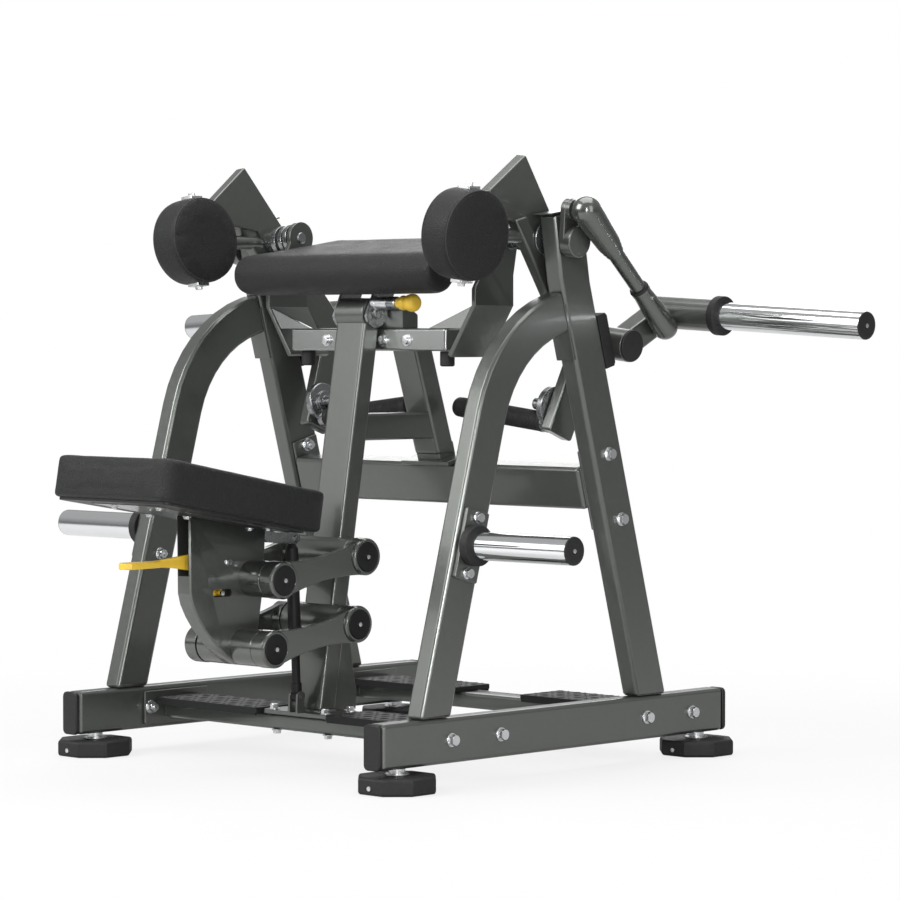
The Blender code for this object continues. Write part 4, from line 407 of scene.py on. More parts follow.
def slab(outline, low, high, edge=0.0, plane="YZ", steps=4, corner=0.0):
    """P(i, j) = outline_j less inset_i along its outward step, at height_i: a closed outline
    carried straight from low to high, where both rims follow a quarter circle of the edge
    radius and the outline's own corners are rounded first."""
    if corner:
        outline = corners_rounded(outline, max(corner, 1.5 * edge))
    p, normal = outline_and_normals(outline)
    edge = min(edge, (high - low) * 0.48)
    t = np.linspace(0, math.pi / 2, steps + 1)
    inset = edge * (1 - np.sin(t))
    rise = edge * (1 - np.cos(t))
    heights = np.concatenate([low + rise, high - rise[::-1]])
    insets = np.concatenate([inset, inset[::-1]])
    flat = p[None] - insets[:, None, None] * normal[None]
    tall = np.broadcast_to(heights[:, None, None], (*flat.shape[:2], 1))
    order = {"YZ": (2, 0, 1), "XZ": (0, 2, 1), "XY": (0, 1, 2)}[plane]
    points = np.concatenate([flat, tall], -1)[..., order].reshape(-1, 3)
    rows, columns = flat.shape[:2]
    return points, facing_out(points, grid_faces(rows, columns) + end_faces(p, rows))


def slope_of(lean):
    """Unit (Y, Z) steps along and square behind a member that leans forward."""
    turn = math.radians(lean)
    along = np.array([-math.sin(turn), math.cos(turn)])
    return along, np.array([along[1], -along[0]])


def tilted_box(centre, lean, depth, height, low, high, edge, corner=None):
    """A slab across X whose side outline is a rectangle turned by a lean."""
    up, back = slope_of(lean)
    half = np.array([depth, height]) / 2
    outline = rectangle(centre, (back, up), -half, half)
    return slab(outline, low, high, edge, corner=edge if corner is None else corner)


def box(low, high, edge, corner=None):
    """A slab between two corners, its upright edges rounded too."""
    outline = rectangle((0, 0), ((1, 0), (0, 1)), low, high)
    return slab(outline, low[2], high[2], edge, "XY", corner=edge if corner is None else corner)


# Pieces

SHARP = math.radians(32)
FINISH = {}


def new_object(name, mesh, finish, body, nodes):
    """An object of one finish that rides on a body and stands for some nodes."""
    mesh.shade_smooth()
    mesh.set_sharp_from_angle(angle=SHARP)
    mesh.materials.append(FINISH[finish])
    made = bpy.data.objects.new(name, mesh)
    bpy.context.scene.collection.objects.link(made)
    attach(made, body)
    if nodes:
        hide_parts(*nodes)
    return made


def piece(name, surface, finish, body, nodes=(), slot=None):
    """An object from a surface, in the scene's frame."""
    points, faces = surface
    mesh = bpy.data.meshes.new(name)
    mesh.from_pydata(np.asarray(points).tolist(), [], faces)
    mesh.update()
    made = new_object(name, mesh, finish, body, nodes)
    flat = made.modifiers.new("flat_faces_flat", "WEIGHTED_NORMAL")
    flat.keep_sharp = True
    flat.weight = 100
    return made


def on_both_sides(matrix, *parts):
    """A right and a left piece for each part, which is a label, a surface, a finish, a body,
    the nodes it stands for and, where it isn't the finish's own, a slot, which is not used.
    In the texts {} becomes the side's name."""
    for side, name in SIDES.items():
        for label, surface, finish, body, nodes, *slot in parts:
            piece(
                label.format(name), sided(placed(surface, matrix), side), finish,
                body.format(name), [node.format(name) for node in nodes], *slot,
            )


def dressed(node, finish, edge):
    """A copy of a node, its loose triangles joined and its flat faces made whole, with its
    sharp edges rounded, which stands for the node."""
    solid = bmesh.new()
    solid.from_mesh(NODES[node].data)
    bmesh.ops.remove_doubles(solid, verts=solid.verts, dist=2e-6)
    for line in solid.edges:
        line.smooth = True
    bmesh.ops.dissolve_limit(
        solid, angle_limit=math.radians(0.6), verts=solid.verts, edges=solid.edges
    )
    mesh = bpy.data.meshes.new(f"{node}_skin")
    solid.to_mesh(mesh)
    solid.free()
    made = new_object(f"{node}_skin", mesh, finish, NODES[node]["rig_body"], [node])
    if edge:
        bevel = made.modifiers.new("rounded_edges", "BEVEL")
        bevel.width = edge
        bevel.segments = 3
        bevel.limit_method = "ANGLE"
        bevel.angle_limit = SHARP
        bevel.use_clamp_overlap = False
        bevel.miter_outer = "MITER_ARC"
        bevel.harden_normals = True


# Finishes


def node(tree, kind, at=(0, 0), inputs=None, **values):
    """A shader node with its attributes and the values of its sockets."""
    made = tree.nodes.new(kind)
    made.location = at
    for key, value in values.items():
        setattr(made, key, value)
    for socket, value in (inputs or {}).items():
        made.inputs[socket].default_value = value
    return made


def new_group(name, inputs, outputs):
    """A shader node group with named sockets: names and defaults in, and names out."""
    tree = bpy.data.node_groups.new(name, "ShaderNodeTree")
    for label, default in inputs.items():
        socket = tree.interface.new_socket(
            label, in_out="INPUT", socket_type="NodeSocketFloat"
        )
        socket.default_value = default
    for label in outputs:
        tree.interface.new_socket(label, in_out="OUTPUT", socket_type="NodeSocketFloat")
    return tree, tree.nodes.new("NodeGroupInput"), tree.nodes.new("NodeGroupOutput")


def grain_group():
    """Height of two noises of different size, for orange peel, sand cast and moulded skins."""
    tree, inside, outside = new_group(
        "surface_grain", {"Scale": 400.0, "Coarse": 0.4}, ("Height", "Mask")
    )
    place = node(tree, "ShaderNodeTexCoord")
    fine = node(tree, "ShaderNodeTexNoise", inputs={"Detail": 3})
    slow = node(tree, "ShaderNodeTexNoise", inputs={"Detail": 4})
    ratio = node(tree, "ShaderNodeMath", operation="MULTIPLY", inputs={1: 0.09})
    mixed = node(tree, "ShaderNodeMix")
    link = tree.links.new
    link(place.outputs["Object"], fine.inputs["Vector"])
    link(place.outputs["Object"], slow.inputs["Vector"])
    link(inside.outputs["Scale"], fine.inputs["Scale"])
    link(inside.outputs["Scale"], ratio.inputs[0])
    link(ratio.outputs[0], slow.inputs["Scale"])
    link(inside.outputs["Coarse"], mixed.inputs["Factor"])
    link(fine.outputs["Fac"], mixed.inputs["A"])
    link(slow.outputs["Fac"], mixed.inputs["B"])
    link(mixed.outputs["Result"], outside.inputs["Height"])
    link(slow.outputs["Fac"], outside.inputs["Mask"])
    return tree


def leather_group():
    """Height of a pebbled hide: rounded cells with creases between them, and slow folds."""
    tree, inside, outside = new_group("hide_grain", {"Cell": 480.0}, ("Height", "Mask"))
    place = node(tree, "ShaderNodeTexCoord")
    bend = node(tree, "ShaderNodeTexNoise", inputs={"Scale": 160, "Detail": 2})
    push = node(
        tree, "ShaderNodeVectorMath", operation="MULTIPLY_ADD", inputs={1: (0.004, 0.004, 0.004)}
    )
    cells = node(
        tree, "ShaderNodeTexVoronoi", feature="SMOOTH_F1", inputs={"Smoothness": 0.25}
    )
    curve = node(
        tree, "ShaderNodeMapRange", interpolation_type="SMOOTHSTEP",
        inputs={"From Min": 0.25, "From Max": 0.75, "To Min": 1.0, "To Max": 0.0},
    )
    slow = node(tree, "ShaderNodeTexNoise", inputs={"Scale": 26, "Detail": 4})
    mixed = node(tree, "ShaderNodeMix", inputs={"Factor": 0.18})
    link = tree.links.new
    link(place.outputs["Object"], bend.inputs["Vector"])
    link(bend.outputs["Color"], push.inputs[0])
    link(place.outputs["Object"], push.inputs[2])
    link(push.outputs[0], cells.inputs["Vector"])
    link(inside.outputs["Cell"], cells.inputs["Scale"])
    link(cells.outputs["Distance"], curve.inputs["Value"])
    link(place.outputs["Object"], slow.inputs["Vector"])
    link(curve.outputs["Result"], mixed.inputs["A"])
    link(slow.outputs["Fac"], mixed.inputs["B"])
    link(mixed.outputs["Result"], outside.inputs["Height"])
    link(slow.outputs["Fac"], outside.inputs["Mask"])
    return tree


def wear_group():
    """How much an edge is worn: outward corners from Pointiness, broken up by a noise."""
    tree, inside, outside = new_group("edge_wear", {"Start": 0.53, "End": 0.58}, ("Mask",))
    shape = node(tree, "ShaderNodeNewGeometry")
    step = node(tree, "ShaderNodeMapRange")
    place = node(tree, "ShaderNodeTexCoord")
    broken = node(tree, "ShaderNodeTexNoise", inputs={"Scale": 90, "Detail": 5})
    cut = node(tree, "ShaderNodeMapRange", inputs={"From Min": 0.42, "From Max": 0.62})
    both = node(tree, "ShaderNodeMath", operation="MULTIPLY")
    link = tree.links.new
    link(shape.outputs["Pointiness"], step.inputs["Value"])
    link(inside.outputs["Start"], step.inputs["From Min"])
    link(inside.outputs["End"], step.inputs["From Max"])
    link(place.outputs["Object"], broken.inputs["Vector"])
    link(broken.outputs["Fac"], cut.inputs["Value"])
    link(step.outputs["Result"], both.inputs[0])
    link(cut.outputs["Result"], both.inputs[1])
    link(both.outputs[0], outside.inputs["Mask"])
    return tree


def material(name, colour, roughness, pattern, scales=None, metallic=0.0, coat=0.0,
             specular=0.5, sheen=0.0, spread=0.05, tint=0.1, bump=0.0, depth=0.0003, wear=None):
    """A finish: a principled shader whose roughness and colour vary by the spread and the
    tint with the pattern's slow mask, whose bump is the pattern's height over a depth, and
    whose edges can wear by a share to another colour: wear is the group, colour and share."""
    made = bpy.data.materials.new(name)
    made.use_nodes = True
    tree = made.node_tree
    link = tree.links.new
    shader = tree.nodes["Principled BSDF"]
    for socket, value in (
        ("Metallic", metallic), ("Coat Weight", coat), ("Coat Roughness", 0.08),
        ("Specular IOR Level", specular), ("Sheen Weight", sheen), ("Sheen Roughness", 0.5),
    ):
        shader.inputs[socket].default_value = value
    grain = node(tree, "ShaderNodeGroup", (-700, 0), scales, node_tree=pattern)
    last = node(
        tree, "ShaderNodeMix", (-400, 200), data_type="RGBA",
        inputs={
            "A": (*[c * (1 - tint) for c in colour], 1),
            "B": (*[min(1, c * (1 + tint)) for c in colour], 1),
        },
    )
    link(grain.outputs["Mask"], last.inputs["Factor"])
    rough = node(
        tree, "ShaderNodeMapRange", (-400, -100),
        {"From Min": 0.3, "From Max": 0.7, "To Min": roughness - spread, "To Max": roughness + spread},
    )
    link(grain.outputs["Mask"], rough.inputs["Value"])
    link(rough.outputs["Result"], shader.inputs["Roughness"])
    if wear:
        group, bare, amount = wear
        worn = node(tree, "ShaderNodeGroup", (-700, 400), node_tree=group)
        share = node(tree, "ShaderNodeMath", (-400, 420), {1: amount}, operation="MULTIPLY")
        over = node(tree, "ShaderNodeMix", (-200, 300), {"B": (*bare, 1)}, data_type="RGBA")
        link(worn.outputs["Mask"], share.inputs[0])
        link(share.outputs[0], over.inputs["Factor"])
        link(last.outputs["Result"], over.inputs["A"])
        last = over
    link(last.outputs["Result"], shader.inputs["Base Color"])
    if bump:
        relief = node(
            tree, "ShaderNodeBump", (-200, -300), {"Strength": bump, "Distance": depth}
        )
        link(grain.outputs["Height"], relief.inputs["Height"])
        link(relief.outputs["Normal"], shader.inputs["Normal"])
    return made


def grain_of(scale, coarse):
    return {"Scale": scale, "Coarse": coarse}


def metals(colours, grain, wear):
    """Painted and bare metal: the frame's paint, its glossy form, bright bar and plate."""
    peel = grain_of(900.0, 0.2)
    worn = (wear, (0.24, 0.25, 0.25), 0.10)
    FINISH["paint"] = material(
        "charcoal_metallic_paint", colours.paint, 0.31, grain, peel,
        metallic=0.70, coat=0.45, spread=0.03, tint=0.06, wear=worn,
    )
    FINISH["gloss"] = material(
        "glossy_charcoal_paint", colours.paint, 0.22, grain, peel,
        metallic=0.75, coat=0.6, spread=0.03, tint=0.06, wear=worn,
    )
    FINISH["bar"] = material(
        "bright_bar_paint", (0.33, 0.34, 0.33), 0.24, grain, peel,
        metallic=0.9, coat=0.3, spread=0.02, tint=0.04,
    )
    FINISH["chrome"] = material(
        "polished_chrome", colours.chrome, 0.10, grain, grain_of(300.0, 0.7),
        metallic=1.0, spread=0.02, tint=0.02,
    )
    FINISH["zinc"] = material(
        "zinc_plate", colours.zinc, 0.28, grain, grain_of(500.0, 0.6),
        metallic=1.0, spread=0.08, bump=0.12, depth=0.0002,
    )
    FINISH["turned"] = material(
        "dark_turned_steel", colours.turned, 0.26, grain, grain_of(700.0, 0.4),
        metallic=0.9, spread=0.06, bump=0.06, depth=0.0002,
    )
    FINISH["tread"] = material(
        "dark_tread_plate", (0.014, 0.0145, 0.0145), 0.55, grain, grain_of(700.0, 0.4),
        specular=0.18, spread=0.08, tint=0.15, bump=0.2, wear=(wear, (0.10, 0.10, 0.10), 0.4),
    )


def mouldings(colours, grain):
    """Rubber and plastic: caps, plugs, feet, grips, the lever and the knob."""
    FINISH["cap"] = material(
        "domed_black_cap", (0.008, 0.008, 0.0085), 0.50, grain, grain_of(900.0, 0.4),
        specular=0.28, bump=0.12, depth=0.0002,
    )
    FINISH["rubber"] = material(
        "black_rubber", colours.rubber, 0.62, grain, grain_of(1100.0, 0.3),
        specular=0.35, spread=0.08, tint=0.15, bump=0.35,
    )
    FINISH["plastic"] = material(
        "black_moulding", colours.plastic, 0.46, grain, grain_of(1300.0, 0.25),
        specular=0.32, spread=0.06, tint=0.12, bump=0.22,
    )
    FINISH["yellow"] = material(
        "yellow_moulding", colours.yellow, 0.36, grain, grain_of(900.0, 0.3),
        tint=0.08, bump=0.15,
    )


def upholstery(colours, grain, hide):
    """The pads' cover and the cord in its seams."""
    FINISH["leather"] = material(
        "black_upholstery", colours.leather, 0.50, hide,
        specular=0.27, sheen=0.02, tint=0.12, bump=0.80, depth=0.0007,
    )
    FINISH["piping"] = material(
        "black_seam", (0.012, 0.012, 0.012), 0.6, grain, grain_of(1500.0, 0.3), bump=0.3
    )


def make_finishes():
    colours, _, _ = settings()
    grain, hide, wear = grain_group(), leather_group(), wear_group()
    metals(colours, grain, wear)
    mouldings(colours, grain)
    upholstery(colours, grain, hide)


# Stage

EYE = (4.7286, -4.2522, 0.7885)
AIM = Vector((0, 0, 0.5))
SENSOR = 36
FLOOR_HALF = 30.0
FLOOR_DROP = 0.0004
LAMPS = (
    ("key_box", (-1.2, -3.4, 3.0), (2.4, 2.4), 165),
    ("front_card", (-2.6, -3.6, 2.0), (2.2, 2.6), 25),
    ("edge_strip", (4.3, -3.9, 1.7), (0.35, 2.6), 120),
    ("side_box", (4.2, -0.6, 1.9), (1.6, 3.0), 40),
    ("top_box", (0.2, 0.3, 3.8), (3.2, 3.2), 100),
    ("rear_box", (-2.6, 3.2, 2.2), (2.2, 2.2), 35),
)


class MACHINE_OT_stage(bpy.types.Operator):
    """Make the floor, the lamps, the world and the camera"""

    bl_idname = "machine.stage"
    bl_label = "Stage"

    def execute(self, context):
        _, _, stage = settings()
        context.scene.view_settings.view_transform = "Standard"
        self.world(context.scene)
        self.floor(context.scene)
        self.lamps(context.scene, stage)
        self.camera(context.scene, stage)
        return {"FINISHED"}

    def world(self, scene):
        """White to the camera, and to all else grey below and brighter towards the top."""
        world = bpy.data.worlds.new("studio")
        scene.world = world
        world.use_nodes = True
        tree = world.node_tree
        tree.nodes.clear()
        link = tree.links.new
        out = node(tree, "ShaderNodeOutputWorld", (600, 0))
        mixed = node(tree, "ShaderNodeMixShader", (400, 0))
        seen = node(tree, "ShaderNodeBackground", (200, -100), {"Color": (1, 1, 1, 1)})
        lit = node(tree, "ShaderNodeBackground", (200, 100), {"Strength": 0.45})
        sky = node(tree, "ShaderNodeTexCoord", (-600, 100))
        up = node(tree, "ShaderNodeSeparateXYZ", (-400, 100))
        ramp = node(tree, "ShaderNodeValToRGB", (-200, 100))
        low, high = ramp.color_ramp.elements
        low.position, low.color = 0.30, (0.50, 0.50, 0.50, 1)
        high.position, high.color = 0.75, (1, 1, 1, 1)
        ramp.color_ramp.elements.new(0.52).color = (0.42, 0.43, 0.44, 1)
        level = node(tree, "ShaderNodeMapRange", (-300, 300), {"From Min": -1})
        ray = node(tree, "ShaderNodeLightPath", (0, 300))
        link(sky.outputs["Generated"], up.inputs[0])
        link(up.outputs["Z"], level.inputs["Value"])
        link(level.outputs["Result"], ramp.inputs["Fac"])
        link(ramp.outputs["Color"], lit.inputs["Color"])
        link(ray.outputs["Is Camera Ray"], mixed.inputs["Fac"])
        link(lit.outputs[0], mixed.inputs[1])
        link(seen.outputs[0], mixed.inputs[2])
        link(mixed.outputs[0], out.inputs["Surface"])

    def floor(self, scene):
        """A pale floor that the camera sees go over to white away from the machine."""
        corners = [(*corner, -FLOOR_DROP) for corner in
                   rectangle((0, 0), ((1, 0), (0, 1)), [-FLOOR_HALF] * 2, [FLOOR_HALF] * 2)]
        mesh = bpy.data.meshes.new("floor")
        mesh.from_pydata(corners, [], [(0, 1, 2, 3)])
        ground = bpy.data.objects.new("floor", mesh)
        scene.collection.objects.link(ground)
        pale = bpy.data.materials.new("pale_floor")
        pale.use_nodes = True
        tree = pale.node_tree
        link = tree.links.new
        shader = tree.nodes["Principled BSDF"]
        shader.inputs["Base Color"].default_value = (0.60, 0.60, 0.60, 1)
        shader.inputs["Roughness"].default_value = 0.6
        shader.inputs["Specular IOR Level"].default_value = 0.2
        white = node(tree, "ShaderNodeEmission", (0, -300), {"Color": (1, 1, 1, 1)})
        place = node(tree, "ShaderNodeTexCoord", (-800, 200))
        far = node(tree, "ShaderNodeVectorMath", (-600, 200), operation="LENGTH")
        fade = node(
            tree, "ShaderNodeMapRange", (-400, 200),
            {"From Min": 0.7, "From Max": 2.2, "To Min": 0.78}, interpolation_type="SMOOTHSTEP",
        )
        ray = node(tree, "ShaderNodeLightPath", (-600, -100))
        both = node(tree, "ShaderNodeMath", (-200, 100), operation="MULTIPLY")
        mixed = node(tree, "ShaderNodeMixShader", (200, 0))
        link(place.outputs["Object"], far.inputs[0])
        link(far.outputs["Value"], fade.inputs["Value"])
        link(fade.outputs["Result"], both.inputs[0])
        link(ray.outputs["Is Camera Ray"], both.inputs[1])
        link(both.outputs[0], mixed.inputs["Fac"])
        link(shader.outputs[0], mixed.inputs[1])
        link(white.outputs[0], mixed.inputs[2])
        link(mixed.outputs[0], tree.nodes["Material Output"].inputs["Surface"])
        mesh.materials.append(pale)

    def lamps(self, scene, stage):
        for name, at, size, power in LAMPS:
            lamp = bpy.data.lights.new(name, "AREA")
            lamp.shape = "RECTANGLE"
            lamp.size, lamp.size_y = size
            lamp.energy = power * stage.lamp
            made = bpy.data.objects.new(name, lamp)
            scene.collection.objects.link(made)
            made.location = at
            made.rotation_euler = (AIM - Vector(at)).to_track_quat("-Z", "Y").to_euler()

    def camera(self, scene, stage):
        data = bpy.data.cameras.new("camera")
        data.lens = stage.lens
        data.sensor_width = SENSOR
        data.clip_start = 0.1
        data.clip_end = 100
        made = bpy.data.objects.new("camera", data)
        scene.collection.objects.link(made)
        made.location = SHOP @ Vector(EYE)
        made.rotation_euler = (math.pi / 2 - stage.pitch, 0, stage.azimuth)
        scene.camera = made


# Frame


def leaning(foot_y, foot_z, lean):
    """Y of a member that leans forward from upright, at an offset behind its centre line
    and a height: foot + offset / cos lean - rise tan lean."""
    turn = math.radians(lean)

    def line(offset, z):
        return foot_y + offset / math.cos(turn) - (z - foot_z) * math.tan(turn)

    return line


BEAM_MID_X = 0.402
BEAM_OUTER_X = 0.422
BEAM_TOP = 0.0913
COLUMN_LEAN, REAR_COLUMN_LEAN, REAR_LEG_LEAN, FRONT_LEG_LEAN = -9.2, 17.4, 15.4, -15.2
UPPER_BEAM = (0.582867, 0.512)
COLUMN = leaning(0.246, 0.091, COLUMN_LEAN)
REAR_COLUMN = leaning(*UPPER_BEAM, REAR_COLUMN_LEAN)
REAR_LEG = leaning(0.710, 0.122, REAR_LEG_LEAN)
FRONT_LEG = leaning(0.140, 0.122, FRONT_LEG_LEAN)
HEAD = (COLUMN(0, 0.828), 0.828)
ACROSS = (1, 0, 0)
UP = (0, 0, 1)
DOWN = (0, 0, -1)
INWARDS = (-1, 0, 0)
AS_IT_IS = Matrix()


class MACHINE_OT_frame_skins(bpy.types.Operator):
    """Round the edges of the painted tubes, the stops and the caps and finish them"""

    bl_idname = "machine.frame_skins"
    bl_label = "Tubes"

    def execute(self, context):
        _, sizes, _ = settings()
        for tube in ("upper_cross_beam", "base_cross_front", "base_cross_rear"):
            dressed(tube, "paint", sizes.round_edge)
        for name in SIDES.values():
            for tube in ("base_beam", "front_leg", "rear_leg"):
                dressed(f"{tube}_{name}", "paint", sizes.round_edge)
        dressed("seat_carriage", "paint", 0)
        for name in SIDES.values():
            dressed(f"arm_stop_{name}", "rubber", sizes.fine_edge)
            for end in ("front", "rear"):
                dressed(f"beam_cap_{end}_{name}", "plastic", sizes.fine_edge)
        return {"FINISHED"}


class MACHINE_OT_feet(bpy.types.Operator):
    """Make the eight-sided rubber feet, each with a metal stub above and a screw in front"""

    bl_idname = "machine.feet"
    bl_label = "Feet"

    def execute(self, context):
        across, height, edge = 0.134, 0.0305, 0.006
        flange, stem = 0.0215, 0.0145
        corners = math.pi / 8 + math.pi / 4 * np.arange(8)
        stub_profile = [
            (0, 0), (0, flange), (0.0028, flange), (0.0030, stem), (0.0112, stem), (0.0112, 0)
        ]
        for end, y in (("front", 0.063), ("rear", 0.859)):
            outline = arc((BEAM_MID_X, y), across / 2 / math.cos(math.pi / 8), corners)
            foot = slab(outline, 0.0, height, edge, "XY")
            top = (BEAM_MID_X, y, height + 0.0003)
            stub = turned(rounded(stub_profile, 0.0006), top, UP, 48)
            front = (BEAM_MID_X, y - across / 2, 0.0125)
            screw = bolt_head(front, (0, -1, 0), 0.0085, 0.0022, domed=True)
            on_both_sides(
                SHOP,
                (f"rubber_foot_{end}_{{}}", foot, "rubber", "machine", [f"foot_{end}_{{}}"]),
                (f"foot_metal_{end}_{{}}", joined(stub, screw), "zinc", "machine", []),
            )
        return {"FINISHED"}


class MACHINE_OT_leg_trim(bpy.types.Operator):
    """Close the tops of the rear legs and cap the ends of the arches"""

    bl_idname = "machine.leg_trim"
    bl_label = "Leg trim"

    def execute(self, context):
        bend_z, top_z, top_lean, half_depth = 0.885, 1.004, 9.0, 0.039
        outer, edge = 0.4235, 0.0008
        overhang, reach, thick = 0.009, 0.079, 0.003
        up, back = slope_of(top_lean)
        front_y = REAR_LEG(-half_depth, bend_z)
        crown = (front_y - (top_z - bend_z) * math.tan(math.radians(top_lean)), top_z)
        cap = rectangle(crown, (back, up), (-overhang, 0.0), (reach, thick))
        lip_z, lip_proud, lip_thick, lip_height = 0.742, 0.006, 0.0055, 0.1035
        along, behind = slope_of(REAR_LEG_LEAN)
        foot = (REAR_LEG(-half_depth - lip_proud, lip_z), lip_z)
        lip = rectangle(foot, (behind, along), (0, 0), (lip_thick, lip_height))
        plates = joined(
            slab(cap, 0.379, outer, edge, corner=edge),
            slab(lip, 0.3805, outer, edge, corner=edge),
        )
        on_both_sides(SHOP, ("leg_plates_{}", plates, "paint", "machine", []))
        return {"FINISHED"}


PIVOTS = {
    "upper_rear": (0.284, 0.384),
    "lower_rear": (0.263, 0.262),
    "upper_front": (0.077, 0.351),
    "lower_front": (0.056, 0.229),
}
HUB_HALF = 0.0721
HUB_RADIUS = 0.0331
HUB_BORE = 0.012
GAS_FOOT = (0, 0.205, 0.128)
GAS_TOP = (0, 0.192, 0.418)
STORAGE_Z = 0.421
WELD_STEP = 0.0012
WELD_WAVE = 0.0048


def hub(at):
    """A tube across X with broken edges, closed at both ends, in the side view's frame."""
    profile = [(-HUB_HALF, HUB_BORE), (-HUB_HALF, HUB_RADIUS), (HUB_HALF, HUB_RADIUS), (HUB_HALF, HUB_BORE)]
    return turned(rounded(profile, 0.0025), (0, *at), ACROSS)


def weld_round(corners, height, corner):
    """A weld bead round a level outline with rounded corners: even steps along the outline
    carry a round section, whose radius swells by the sum of two sines of the way run."""
    _, sizes, _ = settings()
    outline = corners_rounded(np.array(corners, float), corner, 6)
    closed = np.vstack([outline, outline[:1]])
    run = np.concatenate([[0], np.cumsum(np.linalg.norm(np.diff(closed, axis=0), axis=1))])
    along = np.arange(0, run[-1], WELD_STEP)
    x = np.interp(along, run, closed[:, 0])
    y = np.interp(along, run, closed[:, 1])
    path = np.stack([x, y, np.full(len(x), height)], 1)
    along = np.arange(len(path)) * WELD_STEP
    swell = 1 + 0.10 * np.sin(2 * math.pi * along / WELD_WAVE) + 0.04 * np.sin(along * 310)
    return swept(path, circle((0, 0), sizes.weld, 10), swell)


class MACHINE_OT_centre(bpy.types.Operator):
    """Make the centre frame: columns, head, ties, hubs and base plate, with its weld"""

    bl_idname = "machine.centre"
    bl_label = "Centre frame"

    plate_top = 0.0993
    half_depth, half_width = 0.020, 0.038

    def execute(self, context):
        front, rear = (COLUMN(side * self.half_depth, self.plate_top) for side in (-1, 1))
        wide = self.half_width
        foot = [(-wide, front), (wide, front), (wide, rear), (-wide, rear)]
        parts = [
            *self.columns(),
            *self.ties(),
            *self.clevis_and_gussets(),
            hub(PIVOTS["upper_rear"]),
            hub(PIVOTS["lower_rear"]),
            weld_round(foot, self.plate_top, 0.006),
        ]
        piece("centre_column", placed(joined(*parts), SHOP), "paint", "machine", ["centre_frame"])
        return {"FINISHED"}

    def upright(self, line, low_z, high_z, half_depth, half_width):
        outline = [
            (line(-half_depth, low_z), low_z),
            (line(half_depth, low_z), low_z),
            (line(half_depth, high_z), high_z),
            (line(-half_depth, high_z), high_z),
        ]
        return slab(outline, -half_width, half_width, 0.0065, corner=0.001)

    def columns(self):
        """The two columns, and the foot plate between them and the base."""
        return [
            self.upright(COLUMN, self.plate_top - 0.001, HEAD[1], self.half_depth, self.half_width),
            self.upright(REAR_COLUMN, 0.560, 0.790, 0.0225, 0.032),
            box((-0.085, 0.199, BEAM_TOP), (0.085, 0.289, self.plate_top), 0.0015, 0.006),
        ]

    def ties(self):
        """Plate and box on the upper beam, two ties between the columns, and the head."""
        up, _ = slope_of(REAR_LEG_LEAN)
        on_beam, in_column = np.array(UPPER_BEAM) + 0.0443 * up, np.array(UPPER_BEAM) + 0.060 * up
        return [
            tilted_box(on_beam, REAR_LEG_LEAN, 0.070, 0.008, -0.062, 0.062, 0.0012),
            tilted_box(in_column, REAR_LEG_LEAN, 0.045, 0.030, -0.0305, 0.0305, 0.004),
            box((-0.028, COLUMN(0, 0.618), 0.593), (0.028, REAR_COLUMN(0, 0.618), 0.643), 0.005),
            box((-0.028, 0.4303, 0.761), (0.028, REAR_COLUMN(0, 0.790), 0.788), 0.004),
            rod(-0.037, 0.037, 0.029, (0, *HEAD), ACROSS, edge=0.002),
        ]

    def clevis_and_gussets(self):
        """Side plates that stiffen the column's foot and hold the gas spring's pin."""
        low_z = self.plate_top - 0.001
        mid_z, top_z, near, far = self.plate_top + 0.03, 0.31, 0.012, 0.075
        gusset = [
            (COLUMN(near, self.plate_top), low_z),
            (COLUMN(far, self.plate_top), low_z),
            (COLUMN(far - 0.003, mid_z), mid_z),
            (COLUMN(near, top_z), top_z),
        ]
        clevis = np.vstack([
            [(0.194, low_z), (0.216, low_z)], arc(GAS_FOOT[1:], 0.010, np.linspace(0, math.pi, 13))
        ])
        parts = []
        for side in SIDES:
            parts.append(slab(gusset, side * 0.030 - 0.003, side * 0.030 + 0.003, 0.0008))
            low, high = sorted((side * 0.0075, side * 0.0125))
            parts.append(slab(clevis, low, high, 0.0006))
        parts.append(rod(-0.015, 0.015, 0.004, GAS_FOOT, ACROSS, 24))
        return parts


YOKE_FRONT, YOKE_REAR = 0.384, 0.430
YOKE_LOW, YOKE_TOP = 0.759, 0.801
ELBOW_X, ELBOW_Y, ELBOW_Z = 0.372, 0.472, 0.964


